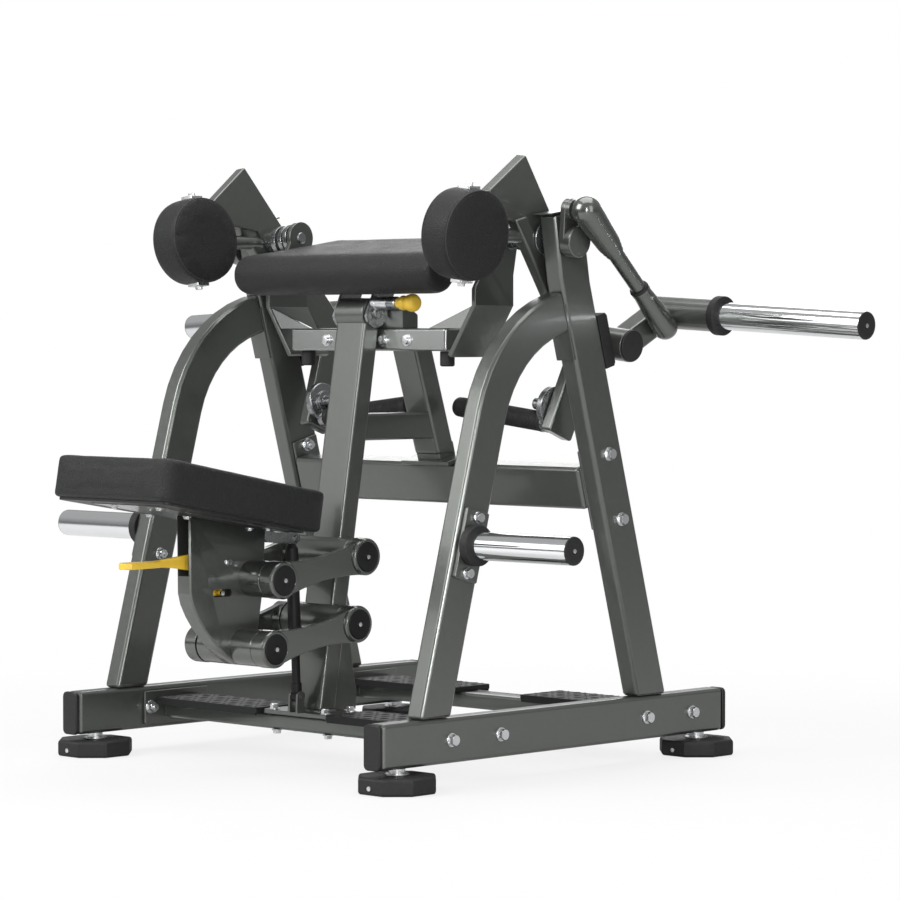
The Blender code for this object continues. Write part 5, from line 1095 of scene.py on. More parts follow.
class MACHINE_OT_yoke(bpy.types.Operator):
    """Make the yoke behind the column head: bright bar, bent panels with lugs, and ribs"""

    bl_idname = "machine.yoke"
    bl_label = "Yoke"

    def execute(self, context):
        bar_half = 0.206
        bar = box((-bar_half, YOKE_FRONT, YOKE_LOW), (bar_half, YOKE_REAR, YOKE_TOP), 0.005)
        piece("yoke_bar", placed(bar, SHOP), "bar", "machine", ["arm_yoke"])
        block_top, low, front, rear = 0.836, 0.8005, 0.386, 0.428
        block = [
            (front, low), (rear, low), (rear, block_top - 0.010), (rear - 0.016, block_top),
            (front, block_top),
        ]
        rest = slab(block, 0.020, 0.092, 0.002, corner=0.003)
        piece("pad_rest", placed(rest, SHOP), "paint", "machine")
        on_both_sides(
            SHOP,
            ("yoke_panel_{}", joined(self.lug_panel(), self.flared_panel()), "paint", "machine", []),
            ("yoke_rib_{}", self.rib(), "bar", "machine", []),
            ("yoke_rubber_{}", self.buffer(), "rubber", "machine", ["yoke_buffer_{}"]),
        )
        return {"FINISHED"}

    panel_x, panel_half = 0.273, 0.005
    fold_z, panel_front, panel_rear = 0.842, 0.387, 0.488

    def lug_panel(self):
        """The upright part of a side panel, with its round lug about the elbow's axis."""
        lug_z = ELBOW_Z + (ELBOW_X - self.panel_x) * math.tan(math.radians(6.5))
        low_z = self.fold_z - 0.001
        outline = np.vstack([
            [(self.panel_front, low_z), (self.panel_rear, low_z), (self.panel_rear, 0.897)],
            arc((ELBOW_Y, lug_z), 0.031, np.radians(np.linspace(-20, 200, 25))),
            [(self.panel_front, 0.872)],
        ])
        return slab(outline, self.panel_x - self.panel_half, self.panel_x + self.panel_half, 0.0015)

    def half_thickness(self):
        """The step square to the flared part that is half its thickness."""
        slope = np.array([self.panel_x - 0.212, self.fold_z - 0.750])
        slope /= np.linalg.norm(slope)
        return np.array([slope[1], -slope[0]]) * self.panel_half

    def flared_panel(self):
        out, low = self.half_thickness(), np.array([0.212, 0.750])
        outline = [
            low - out, low + out,
            (self.panel_x + self.panel_half, self.fold_z), (self.panel_x - self.panel_half, self.fold_z),
        ]
        return slab(outline, self.panel_front, self.panel_rear, 0.0012, "XZ", corner=0.001)

    def rib(self):
        """A triangle between the bar's top and the inner face of the flared part."""
        fold = np.array([self.panel_x, self.fold_z])
        outline = [(0.154, 0.800), (0.242, 0.800), fold - self.half_thickness() - (0.002, 0.004)]
        return slab(outline, 0.390, 0.396, 0.0008, "XZ", corner=0.001)

    def buffer(self):
        radius, height = 0.0135, 0.028
        profile = [
            (0, 0), (0, radius), (height - 0.002, radius), (height, radius - 0.0025), (height, 0)
        ]
        return turned(rounded(profile, 0.0015), (0.184, 0.411, YOKE_LOW - 0.0003), DOWN, 40)


# Arms, in the right arm's frame

CROSS_TUBE = (0, 0.158, -0.187)
HORN_AT = (0.112, 0.273, -0.124)
HORN_STEP = Vector((math.cos(math.radians(3.3)), 0, math.sin(math.radians(3.3))))
BRACE_TOP = (0.105, -0.013, 0.057)
BRACE_FOOT = (0.105, 0.228, -0.150)
BRACE_STEP = Vector(BRACE_FOOT) - Vector(BRACE_TOP)
PAD_AT = (0, -0.194, 0.001)
PAD_MID_X = -0.0145
STRAP_LOW, STRAP_HIGH = (-0.0285, -0.209), (-0.0005, -0.179)


def plate_point(across, along):
    """(Y, Z) in the arm's frame of a point given across and along the leaning plate."""
    up, back = slope_of(37.5)
    return across * back + along * up


class MACHINE_OT_arms(bpy.types.Operator):
    """Make the two swinging arms: plate, lever, cross tube, weight arm and horn tube"""

    bl_idname = "machine.arms"
    bl_label = "Arms"

    tube_radius, tube_end = 0.030, 0.0875

    def execute(self, context):
        horn_tube = rod(-0.070, 0.078, 0.030, HORN_AT, HORN_STEP, edge=0.002)
        cross_tube = rod(-0.022, self.tube_end, self.tube_radius, CROSS_TUBE, ACROSS, edge=0.0015)
        brace_stud = rod(0.074, 0.105, 0.011, (0, *BRACE_FOOT[1:]), ACROSS, 32)
        parts = [self.plate(), self.lever(), cross_tube, self.weight_arm(), horn_tube, brace_stud]
        on_both_sides(
            ARM,
            ("arm_{}_frame", joined(*parts, *self.pad_core()), "paint", "arm_{}", ["arm_frame_{}"]),
            ("cross_tube_plug_{}", self.plug(), "plastic", "arm_{}", []),
        )
        return {"FINISHED"}

    front, rear, neck = -0.0714, 0.0386, -0.0210
    lever_front, plate_foot, shoulder = -0.0484, -0.236, 0.074

    def plate(self):
        """The leaning side plate, whose front edge steps back in a slope below the shoulder."""
        step, top = self.neck - self.front, 0.155
        outline = [
            (self.front, top), (self.rear, top), (self.rear, self.plate_foot),
            (self.neck, self.plate_foot), (self.neck, self.shoulder - step * 0.6),
            (self.front, self.shoulder + step * 0.4),
        ]
        return slab([plate_point(*c) for c in outline], -0.0285, -0.0055, 0.003, corner=0.003)

    def lever(self):
        """The long lever on the plate, with its foot bent back to the grip."""
        foot_length, foot_depth = 0.144, 0.066
        knee = plate_point(self.lever_front, self.plate_foot)
        down = -slope_of(-21.0)[0]
        back = np.array([-down[1], down[0]])
        toe = knee + foot_length * down
        heel = toe + foot_depth * back
        outline = [
            plate_point(self.lever_front, self.shoulder), knee, toe, heel,
            heel - (foot_length + 0.004) * down,
            plate_point(-0.019, -0.224), plate_point(-0.019, 0.062),
        ]
        return slab(outline, -0.0240, 0.0010, 0.004, corner=0.004)

    def weight_arm(self):
        """The arm from the cross tube back to the horn's tube."""
        start, end = np.array(CROSS_TUBE[1:]), np.array(HORN_AT[1:])
        along = (end - start) / np.linalg.norm(end - start)
        half = np.array([-along[1], along[0]]) * 0.025
        return slab([start - half, end - half, end + half, start + half], 0.042, 0.084, 0.006, corner=0.003)

    def pad_core(self):
        """The stem that carries the round pad, and the strap's ends above and below it."""
        stem = plate_point(self.lever_front, 0)[0] + 0.010 - PAD_AT[1]
        reach, thick = 0.0803, 0.005
        parts = [rod(0, stem, 0.013, (PAD_MID_X, *PAD_AT[1:]), (0, 1, 0), 40)]
        for low, high in ((reach, reach + thick), (-reach - thick, -reach)):
            low, high = (*STRAP_LOW, PAD_AT[2] + low), (*STRAP_HIGH, PAD_AT[2] + high)
            parts.append(box(low, high, 0.0008, 0.003))
        return parts

    def plug(self):
        """The black plug in the cross tube's outer end, and the seam under its rim."""
        radius, start = 0.0285, self.tube_end + 0.0001
        profile = [
            (start, 0), (start, radius), (start + 0.0024, radius + 0.0011),
            (start + 0.0052, radius), (start + 0.0062, 0),
        ]
        plug = turned(rounded(profile, 0.0012), CROSS_TUBE, ACROSS)
        seam = rod(start - 0.0004, start + 0.0004, 0.0272, CROSS_TUBE, ACROSS, edge=0.0001)
        return joined(plug, seam)


class MACHINE_OT_elbows(bpy.types.Operator):
    """Make the turned elbow shafts, the cranks and the brace rods"""

    bl_idname = "machine.elbows"
    bl_label = "Elbows and braces"

    def execute(self, context):
        on_both_sides(
            ARM,
            ("elbow_axle_{}", self.shaft(), "turned", "arm_{}", ["elbow_shaft_{}"]),
            ("elbow_crank_{}", self.crank(), "paint", "arm_{}", ["crank_{}"]),
            ("brace_{}", self.brace(), "gloss", "arm_{}", ["brace_rod_{}"]),
            ("brace_collar_{}", self.collar(), "rubber", "arm_{}", []),
            ("brace_nipple_{}", self.nipple(), "zinc", "arm_{}", []),
        )
        return {"FINISHED"}

    def shaft(self):
        """The shaft from its inner tail to the crank, with its collars and its thrust disc."""
        bare, disc, groove, ring = 0.012, 0.029, 0.021, 0.027
        chamfer = 0.0005
        profile = [
            (-0.1066, 0.0), (-0.1066, 0.009), (-0.1056, 0.0105), (-0.1046, bare), (-0.0895, bare),
            (-0.0895, disc - chamfer), (-0.0885, disc), (-0.0805, disc), (-0.080, disc - chamfer),
            (-0.080, groove), (-0.074, groove), (-0.074, ring - chamfer), (-0.0735, ring),
            (-0.0645, ring), (-0.064, ring - chamfer), (-0.064, groove), (-0.058, groove),
            (-0.058, disc - chamfer), (-0.0575, disc), (-0.0475, disc), (-0.047, disc - chamfer),
            (-0.047, 0.023), (-0.0288, 0.023), (-0.0288, bare), (-0.0052, bare),
            (-0.0052, 0.0175), (0.0015, 0.0175), (0.0015, 0.031), (0.0022, 0.0315),
            (0.0050, 0.0315), (0.0055, 0.031), (0.0055, bare), (0.0645, bare), (0.0645, 0.0),
        ]
        return turned(profile, (0, 0, 0), ACROSS)

    def crank(self):
        """A drop-shaped web from the shaft to the brace, with a thick disc and a stud. The
        web's outline is two arcs, joined where a straight line touches both."""
        big, small = 0.029, 0.019
        tip = np.array(BRACE_TOP[1:])
        heading = math.atan2(tip[1], tip[0])
        swing = math.acos((big - small) / float(np.linalg.norm(tip)))
        drop = np.vstack([
            arc((0, 0), big, np.linspace(heading + swing, heading - swing + 2 * math.pi, 40)),
            arc(tip, small, np.linspace(heading - swing, heading + swing, 20)),
        ])
        return joined(
            slab(drop, 0.0585, 0.0705, 0.0022),
            rod(0.0625, 0.0845, big, (0, 0, 0), ACROSS, edge=0.003),
            rod(0.0605, 0.0787, small - 0.001, (0, *tip), ACROSS, 48),
        )

    def brace(self):
        """The rod between two balls: a tapering boot above, a socket below. Shares are of
        the distance between the balls."""
        span = BRACE_STEP.length
        ball_radius, foot_radius = 0.027, 0.0235
        boot = [
            (0.07, 0.0258), (0.14, 0.0243), (0.26, 0.0222), (0.288, 0.0212), (0.290, 0.0200),
            (0.318, 0.0194), (0.320, 0.0182), (0.350, 0.0172), (0.352, 0.0148), (0.655, 0.0140),
            (0.655, 0),
        ]
        socket = [
            (0.664, 0), (0.664, 0.0140), (0.664, 0.0178), (0.690, 0.0182), (0.692, 0.0168),
            (0.700, 0.0172), (0.80, 0.0196), (0.92, 0.0226),
        ]
        boot, socket = ([(share * span, r) for share, r in part] for part in (boot, socket))
        a = np.linspace(0, 1.8, 22)
        ball = np.stack([-ball_radius * np.cos(a), ball_radius * np.sin(a)], 1)
        end = arc((span, 0), foot_radius, np.linspace(1.45, 0, 18))
        return joined(
            turned(np.vstack([ball, boot]), Vector(BRACE_TOP), BRACE_STEP),
            turned(np.vstack([socket, end]), Vector(BRACE_TOP), BRACE_STEP),
        )

    def collar(self):
        low, high = 0.652 * BRACE_STEP.length, 0.668 * BRACE_STEP.length
        profile = [(low, 0), (low, 0.0172), (high, 0.0186), (high, 0)]
        return turned(rounded(profile, 0.0008), Vector(BRACE_TOP), BRACE_STEP)

    def nipple(self):
        """The grease nipple on the outer side of the socket."""
        at = Vector(BRACE_TOP) + BRACE_STEP * 0.735 + Vector((0.0168, 0, 0))
        return bolt_head(at, ACROSS, 0.007, 0.0035, domed=True)


class MACHINE_OT_horns(bpy.types.Operator):
    """Make the chrome weight and storage horns with their rings, plugs and screws"""

    bl_idname = "machine.horns"
    bl_label = "Horns"

    def execute(self, context):
        storage_at = (0, FRONT_LEG(0, STORAGE_Z), STORAGE_Z)
        horn_at = (Vector(HORN_AT), HORN_STEP)
        weight = self.horn("weight", ARM, "arm_{}", *horn_at, (0.0946, 0.4213), (0.0783, 0.0943))
        horn_at = (storage_at, Vector(ACROSS))
        storage = self.horn("storage", SHOP, "machine", *horn_at, (0.4489, 0.672), (0.4306, 0.4486))
        flange = tilted_box(
            storage_at[1:], FRONT_LEG_LEAN, 0.056, 0.126, 0.4223, 0.4303, 0.0012, 0.004
        )
        on_both_sides(
            AS_IT_IS,
            *weight,
            *storage,
            ("storage_flange_{}", placed(flange, SHOP), "paint", "machine", []),
        )
        return {"FINISHED"}

    def horn(self, kind, matrix, body, at, step, reach, ring_reach):
        """A 50 mm tube with a plug in its end, a screw in the plug and a ring at its root."""
        radius, plug_depth = 0.025, 0.0032
        begin, tip = reach
        low, high = ring_reach
        bore, rim, chamfer = 0.0194, 0.036, 0.0015
        tube = rod(begin, tip - plug_depth, radius, at, step)
        seat = tip - plug_depth + 0.0001
        plug = turned(rounded([
            (seat, 0), (seat, 0.0249), (tip - 0.0012, 0.0246), (tip - 0.0002, 0.0200),
            (tip - 0.0002, 0.0064), (tip - 0.0020, 0.0056), (tip - 0.0020, 0)], 0.0008), at, step)
        screw = bolt_head(Vector(at) + (tip - 0.0021) * step, step, 0.008, 0.0018, domed=True)
        ring = turned_ring([
            (low, bore), (low, rim - chamfer), (low + chamfer, rim),
            (high - chamfer, rim), (high, rim - chamfer), (high, bore)], at, step)
        ring_node = {"weight": "horn_ring_{}", "storage": "storage_ring_{}"}[kind]
        return (
            (f"{kind}_sleeve_{{}}", placed(tube, matrix), "chrome", body, [f"{kind}_horn_{{}}"]),
            (f"{kind}_plug_{{}}", placed(plug, matrix), "plastic", body, []),
            (f"{kind}_screw_{{}}", placed(screw, matrix), "zinc", body, []),
            (f"{kind}_collar_{{}}", placed(ring, matrix), "rubber", body, [ring_node]),
        )


class MACHINE_OT_grips(bpy.types.Operator):
    """Make the swivelling hand grips with their discs, spindles and ribbed sleeves"""

    bl_idname = "machine.grips"
    bl_label = "Hand grips"

    hub_at = (0, 0.090, -0.312)
    grip_at = (0, 0.090, -0.343)
    disc_back, disc_front = -0.0243, -0.0383

    def execute(self, context):
        on_both_sides(
            ARM,
            ("grip_disc_{}", self.disc(), "turned", "grip_{}", ["grip_swivel_{}"], "chrome"),
            ("grip_sleeve_{}", self.sleeve(), "rubber", "grip_{}", ["hand_grip_{}"]),
            ("grip_plug_{}", self.plug(), "zinc", "grip_{}", []),
        )
        return {"FINISHED"}

    def disc(self):
        """The swivel disc with its boss and spindle, and the boss that holds the grip."""
        back, front, radius = self.disc_back, self.disc_front, 0.0375
        profile = [
            (back, 0), (back, radius - 0.001), (back - 0.001, radius), (front + 0.002, radius),
            (front, 0.0355), (front, 0.021), (front - 0.006, 0.021), (front - 0.006, 0.011),
            (front - 0.034, 0.011), (front - 0.034, 0),
        ]
        boss = rod(front + 0.006, front - 0.0065, 0.0185, self.grip_at, ACROSS, 48, edge=0.001)
        return joined(turned(rounded(profile, 0.0012), self.hub_at, ACROSS), boss)

    def sleeve(self):
        """A rubber sleeve with a collar and a round end. Between them its radius goes up and
        down with a clipped sine of the way along."""
        start = self.disc_front - 0.007
        end = start - 0.225
        radius, rib, pitch = 0.0182, 0.00055, 0.0042
        x = np.linspace(start - 0.010, end + 0.012, 640)
        ribs = radius + rib * np.clip(np.sin((x - start) * 2 * math.pi / pitch) * 1.6, -1, 1)
        collar = [
            (start, 0), (start, 0.0175), (start - 0.0015, 0.0192), (start - 0.006, 0.0192),
            (start - 0.008, radius),
        ]
        dome = [
            (end + 0.010, 0.0185), (end + 0.004, 0.0183), (end + 0.001, 0.0165), (end, 0.013), (end, 0)
        ]
        return turned(collar + list(zip(x, ribs)) + dome, self.grip_at, ACROSS, 40)

    def plug(self):
        """The bright end of the spindle."""
        start = self.disc_front - 0.0341
        profile = [(start, 0), (start, 0.0085), (start - 0.0011, 0.007), (start - 0.0011, 0)]
        return turned(rounded(profile, 0.0006), self.hub_at, ACROSS, 32)


# Seat


class MACHINE_OT_links(bpy.types.Operator):
    """Make the two seat links: dog-bone plates, round eyes, black caps and screws"""

    bl_idname = "machine.links"
    bl_label = "Seat links"

    def execute(self, context):
        eye = rounded([
            (0.0742, 0), (0.0742, 0.034), (0.1020, 0.034), (0.1055, 0.0310), (0.1055, 0.0272),
            (0.1040, 0.0270), (0.1040, 0)], 0.0010)
        cap = rounded([
            (0.1041, 0), (0.1041, 0.0267), (0.1062, 0.0262), (0.1074, 0.018), (0.1078, 0.0075),
            (0.1066, 0.0062), (0.1066, 0)], 0.0010)
        plate_in, plate_out, screw_x = 0.0835, 0.0995, 0.1064
        for level in ("upper", "lower"):
            ends = [np.array(PIVOTS[f"{level}_{end}"]) for end in ("rear", "front")]
            painted, caps, screws = [], [], []
            for side in SIDES:
                low, high = sorted((side * plate_in, side * plate_out))
                painted.append(slab(self.bone(*ends), low, high, 0.0018))
                out = (side, 0, 0)
                for at in ends:
                    painted.append(turned(eye, (0, *at), out))
                    caps.append(turned(cap, (0, *at), out))
                    screws.append(bolt_head((side * screw_x, *at), out, 0.008, 0.0016, domed=True))
            painted += [rod(-0.0955, 0.0955, 0.0115, (0, *at), ACROSS, 32) for at in ends]
            body = f"link_{level}"
            link = placed(joined(*painted), SHOP)
            piece(f"{level}_link", link, "gloss", body, [f"seat_link_{level}"])
            piece(f"{level}_link_caps", placed(joined(*caps), SHOP), "cap", body)
            piece(f"{level}_link_screws", placed(joined(*screws), SHOP), "zinc", body)
        return {"FINISHED"}

    def bone(self, rear, front):
        """The side outline of a link, slimmest half way between its pivots. Its half width
        at the share s of the way is 0.022 + 0.012 (2s - 1)^2."""
        length = np.linalg.norm(front - rear)
        along = (front - rear) / length
        across = np.array([-along[1], along[0]])
        s = np.linspace(0.06, 0.94, 33)[:, None]
        width = 0.022 + 0.012 * (2 * s - 1) ** 2
        spine = rear + s * length * along
        return np.vstack([spine + width * across, (spine - width * across)[::-1]])


BOARD_DEPTH = 0.0683
CARRIAGE_DEPTH = 0.0725


def under_seat(y):
    """Height in the side view of the carriage's top plane, which slopes with the seat."""
    front_y = SEAT_FRONT_Y - CARRIAGE_DEPTH * math.sin(SEAT_TILT)
    front_z = SEAT_FRONT_Z - CARRIAGE_DEPTH * math.cos(SEAT_TILT)
    return front_z - (y - front_y) * math.tan(SEAT_TILT)


def spring_eye(at, bore, radius, sides):
    """A ring across X, 12 mm wide, with broken outer edges."""
    half, edge = 0.006, 0.0005
    section = [
        (-half, bore), (-half, radius - edge), (-0.005, radius), (0.005, radius),
        (half, radius - edge), (half, bore),
    ]
    return turned_ring(section, at, ACROSS, sides)


class MACHINE_OT_seat_parts(bpy.types.Operator):
    """Make the carriage's hubs, the seat board, its screws, the gas spring and the lever"""

    bl_idname = "machine.seat_parts"
    bl_label = "Seat parts"

    def execute(self, context):
        hubs = joined(hub(PIVOTS["upper_front"]), hub(PIVOTS["lower_front"]))
        piece("carriage_hubs", placed(hubs, SHOP), "gloss", "seat")
        self.board()
        self.spring()
        self.spring_bracket()
        self.lever()
        return {"FINISHED"}

    def board(self):
        """The board under the cushion, and the screws that hold it and the carriage."""
        outline = [(-0.148, 0.012), (0.148, 0.012), (0.104, 0.392), (-0.104, 0.392)]
        low, high = -BOARD_DEPTH - 0.004, -BOARD_DEPTH + 0.0015
        board = slab(outline, low, high, 0.0008, "XY", corner=0.02)
        groups = ((0.0041, 0.060, (0.075, 0.335)), (0.0091, 0.050, (0.150, 0.300)))
        screws = [
            bolt_head((x, y, -BOARD_DEPTH - down), DOWN, 0.010, 0.0035, 0.0085, 0.0014)
            for down, wide, ys in groups for x in (-wide, wide) for y in ys
        ]
        piece("seat_board", placed(placed(board, SEAT), SHOP), "plastic", "seat")
        piece("seat_screws", placed(placed(joined(*screws), SEAT), SHOP), "zinc", "seat")

    def spring(self):
        """The gas spring: a thin rod below and a black tube above, each with an eye."""
        foot, top = Vector(GAS_FOOT), Vector(GAS_TOP)
        step = top - foot
        bright = joined(
            rod(0.008, 0.215, 0.0078, foot, step, 32),
            rod(0.007, 0.024, 0.0095, foot, step, 32, edge=0.001),
            spring_eye(foot, 0.0045, 0.010, 40),
        )
        piece("spring_rod", placed(bright, SHOP), "cap", "gas_lower", ["gas_rod"], "chrome")
        end = step.length
        start, radius, neck = end - 0.013 - 0.190, 0.0118, 0.0075
        tube = turned(rounded([
            (start, 0), (start, 0.0095), (start + 0.004, radius), (end - 0.019, radius),
            (end - 0.012, neck), (end - 0.010, neck), (end - 0.010, 0)], 0.0012), foot, step, 40)
        black = joined(tube, spring_eye(top, 0.0078, 0.013, 48))
        piece("spring_tube", placed(black, SHOP), "plastic", "gas_upper", ["gas_cylinder"])

    def spring_bracket(self):
        """Two ears below the carriage that hold the gas spring's upper pin and its nut."""
        ear = [
            (0.107, under_seat(0.107)), (0.1167, 0.4138), (0.1915, 0.4076), (0.2025, 0.4178),
            (0.1953, 0.4285), (0.1475, under_seat(0.1475)),
        ]
        parts = []
        for side in SIDES:
            low, high = sorted((side * 0.0077, side * 0.0133))
            parts.append(slab(ear, low, high, 0.0008, corner=0.003))
        parts.append(rod(-0.0165, 0.0165, 0.004, GAS_TOP, ACROSS, 24))
        parts.append(bolt_head((0.0135, *GAS_TOP[1:]), ACROSS, 0.011, 0.005))
        piece("spring_bracket", placed(joined(*parts), SHOP), "turned", "seat", slot="chrome")

    def lever(self):
        """The yellow release lever with its wide end, its bolt and its pin."""
        _, sizes, _ = settings()
        dressed("release_lever", "yellow", sizes.fine_edge)
        outline = [
            (-0.010, -0.130), (0.010, -0.130), (0.0175, -0.180), (0.0165, -0.2045),
            (0.0085, -0.2135), (-0.0085, -0.2135), (-0.0165, -0.2045), (-0.0175, -0.180),
        ]
        tab = slab(outline, 0.3790, 0.3905, 0.0025, "XY")
        bolt = bolt_head((0.018, 0.020, 0.383), ACROSS, 0.010, 0.004, 0.0065, 0.0012)
        pin = bolt_head((0.016, 0.006, 0.328), ACROSS, 0.009, 0.0035, domed=True)
        piece("lever_tab", placed(tab, SHOP), "yellow", "release")
        piece("lever_bolt", placed(bolt, SHOP), "zinc", "release")
        piece("lever_pin", placed(pin, SHOP), "zinc", "release")


class MACHINE_OT_pad_lock(bpy.types.Operator):
    """Make the arm pad's bracket, plunger and yellow knob"""

    bl_idname = "machine.pad_lock"
    bl_label = "Pad lock"

    def execute(self, context):
        dressed("pad_bracket", "turned", 0)
        inner, outer = 0.0395, 0.1058
        at = (0, HEAD[0] - 0.004, HEAD[1] + 0.019)
        outline = [
            (0, 0), (0, 0.0100), (0.010, 0.0102), (0.013, 0.0140), (0.018, 0.0135),
            (0.022, 0.0122), (0.030, 0.0155), (0.036, 0.0165), (0.043, 0.0163),
            (0.048, 0.0130), (0.050, 0.0070), (0.050, 0),
        ]
        knob = turned(rounded([(outer + x, r) for x, r in outline], 0.0022, 6), at, ACROSS)
        pin = rod(inner, outer, 0.0055, at, ACROSS, 32)
        barrel = turned(rounded([
            (0.0458, 0.0056), (0.0458, 0.0135), (0.0540, 0.0135), (0.0545, 0.0121),
            (0.0840, 0.0121), (0.0845, 0.0105), (0.1050, 0.0105), (0.1053, 0.0056)], 0.0006),
            at, ACROSS, 48)
        piece("knob", placed(knob, SHOP), "yellow", "plunger", ["pull_pin"])
        piece("plunger_rod", placed(pin, SHOP), "chrome", "plunger")
        piece("plunger_barrel", placed(barrel, SHOP), "zinc", "elbow_pad")
        return {"FINISHED"}


# Foot plates and bolts


STUD_PITCH = 0.021
STUD_LENGTH, STUD_WIDTH = 0.0088, 0.0030
STUD_SHARES_AND_RISES = ((1.0, 0.0), (0.86, 0.0011), (0.55, 0.0017))
STUD_SIDES = 8


def lozenges(low, high, height):
    """Raised studs on a square grid, turned 45 degrees one way and then the other. Each is
    three eight-sided rings of half-length L and half-width W, narrowing as they rise."""
    count = [max(2, int((b - a) / STUD_PITCH) + 1) for a, b in zip(low, high)]
    i, j = (k.ravel() for k in np.meshgrid(*[np.arange(n) for n in count], indexing="ij"))
    x = low[0] + i * (high[0] - low[0]) / (count[0] - 1)
    y = low[1] + j * (high[1] - low[1]) / (count[1] - 1)
    turn = np.where((i + j) % 2 == 0, math.pi / 4, -math.pi / 4)
    a = 2 * math.pi * np.arange(STUD_SIDES) / STUD_SIDES
    long, wide = STUD_LENGTH * np.cos(a), STUD_WIDTH * np.sin(a)
    unit = np.vstack([
        np.stack([share * long, share * wide, np.full(STUD_SIDES, rise)], 1)
        for share, rise in STUD_SHARES_AND_RISES
    ])
    cos, sin = np.cos(turn)[:, None], np.sin(turn)[:, None]
    px = x[:, None] + cos * unit[:, 0] - sin * unit[:, 1]
    py = y[:, None] + sin * unit[:, 0] + cos * unit[:, 1]
    pz = np.broadcast_to(height + unit[:, 2], px.shape)
    points = np.stack([px, py, pz], -1).reshape(-1, 3)
    rings, size = len(STUD_SHARES_AND_RISES), len(unit)
    ends = [tuple(range(STUD_SIDES))[::-1], tuple(range(size - STUD_SIDES, size))]
    one = facing_out(unit, grid_faces(rings, STUD_SIDES) + ends)
    return points, [tuple(v + size * k for v in face) for k in range(len(x)) for face in one]


class MACHINE_OT_treads(bpy.types.Operator):
    """Make the four foot plates with raised lozenges"""

    bl_idname = "machine.treads"
    bl_label = "Foot plates"

    def execute(self, context):
        inner, outer, half_depth = 0.092, 0.374, 0.056
        top = BEAM_TOP + 0.010
        for end, y in (("front", 0.244), ("rear", 0.759)):
            front, rear = y - half_depth, y + half_depth
            plate = [box((inner, front, BEAM_TOP), (outer, rear, top), 0.0015, 0.004)]
            for low_y, high_y in ((front, front + 0.005), (rear - 0.005, rear)):
                low, high = (inner + 0.003, low_y, top - 0.014), (outer - 0.003, high_y, BEAM_TOP + 0.002)
                plate.append(box(low, high, 0.0008, 0.0015))
            low, high = (inner + 0.012, front + 0.010), (outer - 0.012, rear - 0.010)
            plate.append(lozenges(low, high, top - 0.0004))
            tread = (f"foot_plate_{end}_{{}}", joined(*plate), "tread", "machine", [f"tread_{end}_{{}}"])
            on_both_sides(SHOP, tread)
        return {"FINISHED"}


class MACHINE_OT_bolts(bpy.types.Operator):
    """Set the bolts and nuts of the frame"""

    bl_idname = "machine.bolts"
    bl_label = "Bolts"

    def execute(self, context):
        heads, nuts = self.across_the_tubes()
        on_both_sides(
            AS_IT_IS,
            ("frame_bolts_{}", placed(heads, SHOP), "zinc", "machine", []),
            ("frame_nuts_{}", placed(nuts, SHOP), "zinc", "machine", []),
            ("pad_clip_{}", placed(self.clip(), ARM), "zinc", "arm_{}", []),
        )
        piece("centre_bolts", placed(self.centre(), SHOP), "zinc", "machine")
        return {"FINISHED"}

    def across_the_tubes(self):
        """Heads on the outer side of beam, rear leg and front leg, nuts and ends within."""
        _, sizes, _ = settings()
        large = (BEAM_OUTER_X, 0.3757, 0.3637, sizes.bolt_flats, 0.009, 0.0125, 0.0125, 0.0048)
        small = (0.4303, 0.382, 0.370, 0.016, 0.008, 0.0105, 0.0115, 0.0042)
        on_beam = [(y, 0.083) for y in (0.178, 0.303, 0.695, 0.823)]
        on_rear_leg = [(0.588, 0.572), (0.622, 0.452)]
        flange = np.array([FRONT_LEG(0, STORAGE_Z), STORAGE_Z])
        up, _ = slope_of(FRONT_LEG_LEAN)
        places = [(place, large) for place in on_beam + on_rear_leg]
        places += [(flange + rise * up, small) for rise in (0.050, -0.050)]
        heads, nuts = [], []
        for (y, z), (head_x, nut_x, end_x, flats, height, washer, nut_washer, thread) in places:
            heads.append(bolt_head((head_x, y, z), ACROSS, flats, height, washer, 0.002))
            nuts.append(bolt_head((nut_x, y, z), INWARDS, flats, 0.010, nut_washer, 0.002))
            nuts.append(rod(0, 0.006, thread, (end_x, y, z), INWARDS, 20))
        return joined(*heads), joined(*nuts)

    def clip(self):
        """The bright plate and its screw at both ends of the strap through a round pad."""
        _, sizes, _ = settings()
        x, y, z = PAD_MID_X, PAD_AT[1], PAD_AT[2]
        parts = []
        for out in (1, -1):
            low, high = sorted((z + 0.0800 * out, z + 0.0863 * out))
            parts.append(box((-0.0290, -0.2095, low), (0.0, -0.1785, high), 0.0008, 0.0035))
            at, step = (x, y, z + 0.0863 * out), (0, 0, out)
            parts.append(bolt_head(at, step, sizes.screw_flats, 0.005, 0.008, 0.0012))
        return joined(*parts)

    def centre(self):
        """Screws through the yoke bar, and bolts above and below the column's foot plate."""
        front = [
            bolt_head((x, YOKE_FRONT, 0.779), (0, -1, 0), 0.016, 0.006, 0.0115, 0.0015, domed=True)
            for x in (-0.106, -0.0445, 0.0445, 0.106)
        ]
        above = [
            bolt_head((x, y, 0.0993), UP, 0.013, 0.008, 0.010, 0.0015)
            for x in (-0.068, 0.068) for y in (0.212, 0.276)
        ]
        below = [
            bolt_head((x, y, 0.061), DOWN, 0.013, 0.006, 0.010, 0.0015)
            for x in (-0.068, 0.068) for y in (0.219, 0.269)
        ]
        return joined(*front, *above, *below)


# Upholstery


FILL_FRAMES = 20


def baked(made):
    """Makes a piece's modifiers part of its mesh."""
    graph = bpy.context.evaluated_depsgraph_get()
    graph.update()
    mesh = bpy.data.meshes.new_from_object(made.evaluated_get(graph))
    made.modifiers.clear()
    made.data = mesh
    made.data.name = made.name


